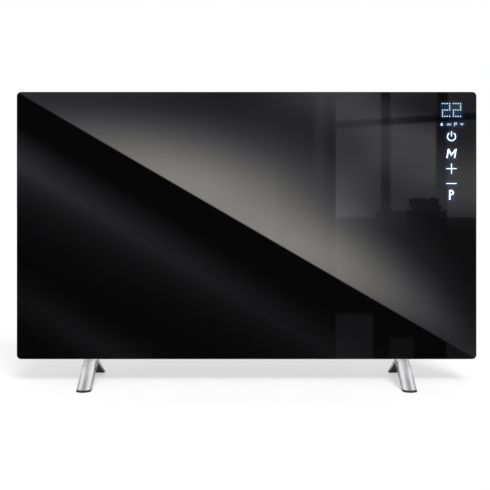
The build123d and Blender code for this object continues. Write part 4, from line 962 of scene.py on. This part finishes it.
resistance_foil, place = finish("resistance_foil", Metallic=1.0)
rolling = place.stretched(6.0, 6.0, 900.0).noise(1.0, 3.0)
heat = place.noise(11.0, 3.0)
wire(
    resistance_foil,
    Base_Color=heat.ramp(0.35, 0.7).blend((0.46, 0.43, 0.40), (0.40, 0.30, 0.22)),
    Roughness=0.28 + 0.22 * rolling,
    Normal=rolling.bump(0.01, 0.6),
)
dress(resistance_foil, "heating_element")

brass, place = finish("brass", Metallic=1.0)
tarnish = place.noise(90.0, 4.0)
wire(
    brass,
    Base_Color=tarnish.ramp(0.45, 0.8).blend((0.80, 0.61, 0.30), (0.42, 0.29, 0.14)),
    Roughness=0.24 + 0.28 * tarnish,
)
eased("element_terminals", 0.12, brass)

reflector, place = finish("reflector", (0.90, 0.90, 0.91), Metallic=1.0)
creases = place.cells(55.0) + 0.5 * place.cells(170.0)
wire(reflector, Roughness=0.12 + 0.10 * creases, Normal=creases.bump(0.5, 0.8))
dress(reflector, "foil_reflector")

mineral_wool, place = finish("mineral_wool", Roughness=0.95)
swirl = place.noise(30.0, 2.0, 1)
settings = {"operation": "MULTIPLY_ADD"}
bent = place.node("ShaderNodeVectorMath", settings, {0: swirl, 1: (0.03, 0.03, 0.03), 2: place})
upright_fibres = bent.stretched(1.0, 1.0, 5.0).noise(120.0, 6.0)
level_fibres = bent.stretched(5.0, 1.0, 1.0).noise(130.0, 6.0)
fibres = upright_fibres * 0.5 + level_fibres * 0.5
clumps = place.noise(16.0, 4.0)
wire(
    mineral_wool,
    Base_Color=(fibres * 0.6 + clumps * 0.4).ramp(0.3, 0.7).blend((0.40, 0.37, 0.28), (0.72, 0.68, 0.55)),
    Normal=(fibres + clumps).bump(0.8, 0.9),
)
dress(mineral_wool, "insulation_board")


# Straps, cutouts and heat shield
# Zinc-plated straps press the laminate forwards and carry two snap-disc cutouts. A bent wall
# keeps the heat away from the controls at the right.
eased("retainer_straps", 0.25, zinc_plate)
eased("heat_shield", 0.25, zinc_plate)

TINNED = (0.78, 0.77, 0.74)
BODY_DEPTH = (0.7 * MM, 7.3 * MM)  # where each cutout's moulded body lies, in Y
cutout_finish, place = finish("cutout_finish")
_, y, _ = place.axes()
resin = y.inside(*BODY_DEPTH, 0.1 * MM)
age = place.noise(300.0, 3.0)
brown = age.blend((0.055, 0.028, 0.018), (0.10, 0.055, 0.035))
wire(
    cutout_finish,
    Base_Color=resin.blend(TINNED, brown),
    Metallic=1.0 - resin,
    Roughness=0.26 + 0.12 * age + 0.18 * resin,
)
eased("thermal_cutouts", 0.25, cutout_finish)


# Control tray
# A moulded tray of dark plastic stands beside the shield, with posts for the boards and a
# light-grey ribbon cable between them, one edge of which is red.
tray_plastic, place = finish("tray_plastic", (0.035, 0.036, 0.038))
spark = place.cells(1400.0)
wire(tray_plastic, Roughness=0.46 + 0.18 * spark, Normal=spark.bump(0.04, 0.6))
eased("control_tray", 0.5, tray_plastic)
eased("display_standoffs", 0.2, tray_plastic)
eased("board_standoffs", 0.2, tray_plastic)

RIBBON_PITCH = 1.27 * MM
RIBBON_EDGE = 381.0 * MM
ribbon, place = finish("ribbon", Roughness=0.45)
x, _, _ = place.axes()
strand = (x - RIBBON_EDGE) / RIBBON_PITCH
ridge = strand.off_centre()
wire(
    ribbon,
    Base_Color=(1.0 - strand.ramp(0.97, 1.0)).blend((0.58, 0.59, 0.60), (0.55, 0.03, 0.02)),
    Normal=(1.0 - ridge * ridge * 4.0).bump(0.35, 0.8),
)
dress(ribbon, "ribbon_cable")


# Boards
# Two printed boards: green for the power side and black for the display. Their tracks and pads
# lie on a 2.54 mm raster, and each square holds a track one way or the other.
RASTER = 2.54 * MM
BORE = (0.02, 0.02, 0.02)


def printed(name, mask_colour, track_colour, layer):
    """A board's finish: solder mask, tracks a little lighter, and tinned pads with a bore."""
    material, place = finish(name, mask_colour)
    x, _, z = place.axes()
    column, row = x / RASTER, z / RASTER
    values = {0: column.math("FLOOR"), 1: layer, 2: row.math("FLOOR")}
    square = place.node("ShaderNodeCombineXYZ", (), values)
    chance = square.node("ShaderNodeTexWhiteNoise", (), {0: square})
    beside, aloft = column.off_centre(), row.off_centre()
    upright = chance.math("GREATER_THAN", 0.45)
    track = 1.0 - (upright * beside + (1.0 - upright) * aloft).ramp(0.09, 0.13)
    reach = beside * beside + aloft * aloft
    pad = (1.0 - reach.ramp(0.045, 0.06)) * chance.math("GREATER_THAN", 0.86)
    tin = reach.ramp(0.008, 0.012)
    wire(
        material,
        Base_Color=pad.blend(track.blend(mask_colour, track_colour), tin.blend(BORE, TINNED)),
        Metallic=pad * tin,
        Roughness=0.30 + 0.10 * place.noise(400.0, 2.0),
        Normal=(track + pad).bump(0.04, 0.6),
    )
    return material


dress(printed("power_print", (0.010, 0.085, 0.032), (0.028, 0.17, 0.065), 1.0), "power_board")
dress(printed("display_print", (0.012, 0.013, 0.015), (0.035, 0.038, 0.042), 2.0), "display_board")


# Power parts
# A relay, a small taped transformer, a can and a box capacitor, a fuse in its clips and a green
# five-way terminal block stand on the power board. The radio module is on the display board.
relay_case = grained("relay_case", (0.012, 0.022, 0.06), 700.0, 2.0, (0.30, 0.16), (0.02, 0.5))
eased("power_relay", 0.5, relay_case)

COIL_Z = 252.0 * MM
COIL_HALF = 10.0 * MM
wound, place = finish("wound")
_, _, z = place.axes()
core = abs(z - COIL_Z).ramp(COIL_HALF - 0.1 * MM, COIL_HALF + 0.1 * MM)
layers = place.stretched(40.0, 40.0, 900.0).noise(1.0, 2.0)
wire(
    wound,
    Base_Color=core.blend(layers.blend((0.03, 0.03, 0.032), (0.055, 0.055, 0.06)), (0.72, 0.50, 0.08)),
    Roughness=0.62 - 0.28 * core,
    Normal=layers.bump(0.05, 0.5),
)
eased("transformer", 0.4, wound)

CAN_X = 376.0 * MM
CAN_Z = 246.0 * MM
STRIPE_HALF = 1.6 * MM
BOX_FROM = 387.0 * MM
capacitor_skin, place = finish("capacitor_skin")
x, y, z = place.axes()
box_part = x.ramp(BOX_FROM, BOX_FROM + 1.0 * MM)
stripe = (x - CAN_X).inside(-STRIPE_HALF, STRIPE_HALF, 0.1 * MM)
stripe = stripe * y.ramp(9.0 * MM, 9.3 * MM)
can_end = abs(z - CAN_Z).ramp(6.6 * MM, 6.8 * MM)
can = stripe.blend((0.015, 0.02, 0.045), (0.62, 0.64, 0.66))
wire(
    capacitor_skin,
    Base_Color=box_part.blend(can_end.blend(can, (0.80, 0.80, 0.80)), (0.70, 0.52, 0.09)),
    Metallic=(1.0 - box_part) * can_end,
    Roughness=0.28 + 0.14 * place.noise(500.0, 2.0),
)
eased("filter_capacitors", 0.5, capacitor_skin)

FUSE_Z = 226.0 * MM
CLIP_FROM = 5.0 * MM  # from the fuse's middle to its clips
fuse_finish, place = finish("fuse_finish")
_, _, z = place.axes()
clip = abs(z - FUSE_Z).ramp(CLIP_FROM - 0.1 * MM, CLIP_FROM + 0.1 * MM)
scuff = place.noise(260.0, 3.0)
wire(
    fuse_finish,
    Base_Color=clip.blend((0.80, 0.79, 0.74), (0.74, 0.74, 0.72)),
    Metallic=clip,
    Roughness=0.20 + 0.22 * scuff,
)
eased("fuse", 0.2, fuse_finish)

WAY_PITCH = 9.0 * MM
WAYS_X = 379.5 * MM
WAYS_Z = 160.0 * MM
HEAD_EDGE = ((2.0 * MM) ** 2, (2.1 * MM) ** 2)  # squares of the radii where a screw head ends
terminal_green, place = finish("terminal_green")
x, y, z = place.axes()
beside = ((x - WAYS_X) / WAY_PITCH).off_centre() * WAY_PITCH
aloft = abs(z - WAYS_Z)
screw_face = 1.0 - (beside * beside + aloft * aloft).ramp(*HEAD_EDGE)
screw_face = screw_face * y.ramp(6.0 * MM, 6.5 * MM)
slit = screw_face * (1.0 - aloft.ramp(0.30 * MM, 0.36 * MM))
head = (1.0 - slit).blend((0.05, 0.05, 0.05), (0.74, 0.73, 0.70))
wire(
    terminal_green,
    Base_Color=screw_face.blend((0.018, 0.17, 0.065), head),
    Metallic=screw_face,
    Roughness=0.36 + 0.15 * place.noise(600.0, 2.0),
)
eased("terminal_block", 0.35, terminal_green)

RADIO_CAN_TOP = 446.0 * MM  # above it the radio's board is bare
radio, place = finish("radio")
_, _, z = place.axes()
aerial = z.ramp(RADIO_CAN_TOP - 0.2 * MM, RADIO_CAN_TOP + 0.1 * MM)
brushed = place.stretched(60.0, 60.0, 1500.0).noise(1.0, 2.0)
can_metal = brushed.blend((0.60, 0.60, 0.60), (0.74, 0.74, 0.73))
wire(
    radio,
    Base_Color=aerial.blend(can_metal, (0.012, 0.03, 0.022)),
    Metallic=1.0 - aerial,
    Roughness=0.26 + 0.16 * brushed,
)
eased("wifi_module", 0.2, radio)


# Display parts
# Behind the print of the glass: the two-digit light block, the pale light guide for the little
# signs and the black conductive foam pads under the touch marks.
SUNK_DEPTH = (-16.6 * MM, -15.9 * MM)
digit_block, place = finish("digit_block")
_, y, _ = place.axes()
sunk = y.inside(*SUNK_DEPTH, 0.05 * MM)
wire(
    digit_block,
    Base_Color=sunk.blend((0.075, 0.078, 0.085), (0.72, 0.76, 0.78)),
    Roughness=0.40 + 0.15 * place.noise(500.0, 2.0),
)
dress(digit_block, "led_digits")

light_guide, place = finish("light_guide")
milk = place.noise(160.0, 3.0)
wire(
    light_guide,
    Base_Color=milk.blend((0.70, 0.73, 0.74), (0.85, 0.87, 0.87)),
    Roughness=0.20 + 0.2 * milk,
)
eased("icon_light_guide", 0.2, light_guide)

foam, place = finish("foam", Roughness=0.9)
pores = place.cells(1700.0)
wire(
    foam,
    Base_Color=pores.blend((0.012, 0.012, 0.013), (0.075, 0.075, 0.08)),
    Normal=pores.bump(0.15, 0.9),
)
eased("touch_pads", 0.4, foam)


# Room sensor and earth point
# A thermistor bead hangs in its pale clip at the bottom vents, and a plated stud with its nut
# takes the earth lead on the case back.
BEAD_FROM = 57.1 * MM
sensor_finish, place = finish("sensor_finish")
_, _, z = place.axes()
bead = z.ramp(BEAD_FROM, BEAD_FROM + 0.2 * MM)
wire(
    sensor_finish,
    Base_Color=bead.blend((0.68, 0.67, 0.62), (0.02, 0.021, 0.024)),
    Roughness=0.50 - 0.22 * bead + 0.1 * place.noise(500.0, 2.0),
)
eased("room_sensor", 0.4, sensor_finish)
eased("earth_stud", 0.2, brass)


# Tip-over cut-off
# A brass pendulum swings on a turned pin in a pale bracket, and its foot passes through a small
# black light gate, so that the heater stops when it is tipped.
nylon, place = finish("nylon")
flow = place.noise(90.0, 3.0)
wire(
    nylon,
    Base_Color=flow.blend((0.58, 0.56, 0.50), (0.70, 0.68, 0.62)),
    Roughness=0.42 + 0.16 * flow,
)
eased("tilt_bracket", 0.3, nylon)

turned_steel, place = finish("turned_steel", (0.62, 0.62, 0.63), Metallic=1.0)
rings = place.stretched(5200.0, 40.0, 40.0).noise(1.0, 2.0)
wire(turned_steel, Roughness=0.16 + 0.2 * rings, Normal=rings.bump(0.01, 0.6))
eased("tilt_pin", 0.15, turned_steel)

turned_brass, place = finish("turned_brass", Metallic=1.0)
rings = place.stretched(40.0, 40.0, 4200.0).noise(1.0, 2.0)
wire(
    turned_brass,
    Base_Color=place.noise(120.0, 3.0).blend((0.66, 0.48, 0.22), (0.86, 0.67, 0.35)),
    Roughness=0.18 + 0.2 * rings,
    Normal=rings.bump(0.012, 0.6),
)
eased("tilt_pendulum", 0.3, turned_brass, "pendulum")

gate_plastic = grained("gate_plastic", (0.014, 0.014, 0.016), 900.0, 2.0, (0.34, 0.2), (0.015, 0.5))
eased("tilt_light_gate", 0.3, gate_plastic)


# Mains switch
# A black rocker in a snap-in housing in the right wall, marked with a bar and a ring in white,
# with tinned blades behind.
MARK_ON_Z = 109.5 * MM
MARK_OFF_Z = 100.5 * MM
SWITCH_Y = 5.0 * MM
RING_RADII = (1.15 * MM, 1.7 * MM)

switch_plastic = grained("switch_plastic", (0.012, 0.012, 0.013), 260.0, 2.0, (0.20, 0.14), (0.03, 0.4))
eased("switch_housing", 0.35, switch_plastic)

rocker_plastic, place = finish("rocker_plastic")
x, y, z = place.axes()
beside = y - SWITCH_Y
bar_mark = 1.0 - abs(beside).ramp(0.28 * MM, 0.36 * MM)
bar_mark = bar_mark * (1.0 - abs(z - MARK_ON_Z).ramp(1.7 * MM, 1.78 * MM))
under = z - MARK_OFF_Z
ring_mark = (beside * beside + under * under).math("SQRT").inside(*RING_RADII, 0.05 * MM)
white_mark = (bar_mark + ring_mark) * x.ramp(423.0 * MM, 423.5 * MM)
wire(
    rocker_plastic,
    Base_Color=white_mark.blend((0.012, 0.012, 0.013), (0.82, 0.82, 0.80)),
    Roughness=0.22 + 0.14 * place.noise(260.0, 2.0) + 0.2 * white_mark,
)
eased("switch_rocker", 0.35, rocker_plastic, "rocker")

tinned, place = finish("tinned", Metallic=1.0)
dulling = place.noise(350.0, 3.0)
wire(
    tinned,
    Base_Color=dulling.blend((0.62, 0.61, 0.58), TINNED),
    Roughness=0.26 + 0.2 * dulling,
)
eased("switch_terminals", 0.15, tinned)


# Cord inlet
# A black nylon gland with a tapering ribbed nose goes through the case back, held by a nut
# inside. Its bore is open for the cord.
GLAND_X = 372.0 * MM
GLAND_Z = 78.0 * MM
GLAND_PROFILE = (  # radius and depth in mm
    (3.75, 12.6), (4.3, 12.0), (5.5, 12.0), (6.0, 12.5), (6.0, 20.9), (8.6, 20.9), (9.0, 21.3), (9.0, 23.5),
    (8.5, 24.0), (7.4, 24.0), (7.2, 25.4), (5.9, 32.0), (5.5, 33.0), (4.4, 33.0), (3.75, 32.3),
)
GLAND_STEPS = 96
GRIPS = 16
GRIP_DEPTH = 0.35
GRIP_FROM, GRIP_TO = 25.0, 32.2
GRIP_RADIUS = 5.6

black_nylon = grained("black_nylon", (0.016, 0.016, 0.017), 340.0, 3.0, (0.36, 0.2), (0.02, 0.5))

gland_loops = []
for radius, y in GLAND_PROFILE:
    gripped = GRIP_FROM < y < GRIP_TO and radius > GRIP_RADIUS
    loop = []
    for step in range(GLAND_STEPS):
        angle = math.tau * step / GLAND_STEPS
        grip = GRIP_DEPTH * abs(math.cos(angle * GRIPS / 2)) if gripped else 0.0
        out = (radius - grip) * MM
        loop.append((GLAND_X + out * math.cos(angle), y * MM, GLAND_Z + out * math.sin(angle)))
    gland_loops.append(loop)
stand_for(add_piece("gland_body", skin(gland_loops, closed=True), black_nylon), "cord_gland")
eased("gland_nut", 0.4, black_nylon)


# Screws, brackets and soles
# Chamfered hexagon screws hold the case to the carrier and the feet to zinc-plated brackets
# inside the case. Each limb stands on a thin rubber sole.
HEAD_OVERLAP = 1.0 * MM  # how far the shank reaches into the head, and the cone past it
TURN_OVER = 0.3  # screws above this height point their heads up
THREAD_PITCH = 0.9 * MM


def screw_mesh(name, places, sizes, material):
    """Screws whose heads hang below their places, turned over where the place is high."""
    given = new_tree(name, sizes)
    base = given["Mesh"]
    deep = given["Head"] + HEAD_OVERLAP
    values = {"Vertices": 6, "Radius": given["Flats"] / math.sqrt(3), "Depth": deep}
    prism = lifted(base.node("GeometryNodeMeshCylinder", (), values), deep * -0.5)
    wide = given["Flats"] * 0.47
    values = {"Vertices": 64, "Radius Top": wide + deep * 1.73, "Radius Bottom": wide, "Depth": deep}
    cone = lifted(base.node("GeometryNodeMeshCone", (), values), given["Head"] * -1.0)
    settings = {"operation": "INTERSECT", "solver": "EXACT"}
    head = base.node("GeometryNodeMeshBoolean", settings, {"Mesh 2": [prism, cone]})
    values = {"Vertices": 32, "Radius": given["Shank"], "Depth": given["Length"] + HEAD_OVERLAP}
    shank = base.node("GeometryNodeMeshCylinder", (), values)
    shank = lifted(shank, given["Length"] * 0.5 - HEAD_OVERLAP / 2)
    whole = base.node("GeometryNodeJoinGeometry", (), {0: [head, shank]})
    _, _, height = base.node("GeometryNodeInputPosition").axes()
    over = height.math("GREATER_THAN", TURN_OVER) * math.pi
    turn = base.node("ShaderNodeCombineXYZ", (), {0: over})
    return grow(name, base, whole, turn, places, material, sizes)


screw_steel, place = finish("screw_steel", Metallic=1.0)
_, _, z = place.axes()
groove = (z / THREAD_PITCH).off_centre() * 2.0
sheen = place.noise(420.0, 3.0)
wire(
    screw_steel,
    Base_Color=sheen.blend((0.50, 0.51, 0.53), (0.68, 0.69, 0.71)),
    Roughness=0.28 + 0.18 * sheen,
    Normal=(groove * z.inside(50.4 * MM, 539.6 * MM, 0.1 * MM)).bump(0.4, 0.8),
)
for node, xs, y, zs, sizes in (  # places and sizes in mm
    ("case_screws", (-200, 200), -8.9, (50.0, 540.0), (6.5, 1.9, 1.8, 7.0)),
    ("leg_screws", (-319.5, -267.5, 267.5, 319.5), 6.0, (47.0,), (8.0, 2.8, 2.4, 10.0)),
):
    places = [(x * MM, y * MM, z * MM) for x in xs for z in zs]
    named = {key: value * MM for key, value in zip(("Flats", "Head", "Shank", "Length"), sizes)}
    screws = add_mesh(f"{node}_hexagon", screw_mesh(node, places, named, screw_steel), screw_steel)
    stand_for(screws, node)

eased("leg_brackets", 0.4, zinc_plate)

SOLE_RIB = 2.2 * MM
sole_rubber, place = finish("sole_rubber", (0.014, 0.014, 0.014))
_, y, z = place.axes()
ribs = (y / SOLE_RIB).off_centre() * 2.0
wire(
    sole_rubber,
    Roughness=0.70 + 0.2 * place.noise(700.0, 2.0),
    Normal=(ribs.ramp(0.3, 0.5) * (1.0 - z.ramp(0.2 * MM, 0.4 * MM))).bump(0.3, 0.8),
)
eased("foot_pads", 0.5, sole_rubber)
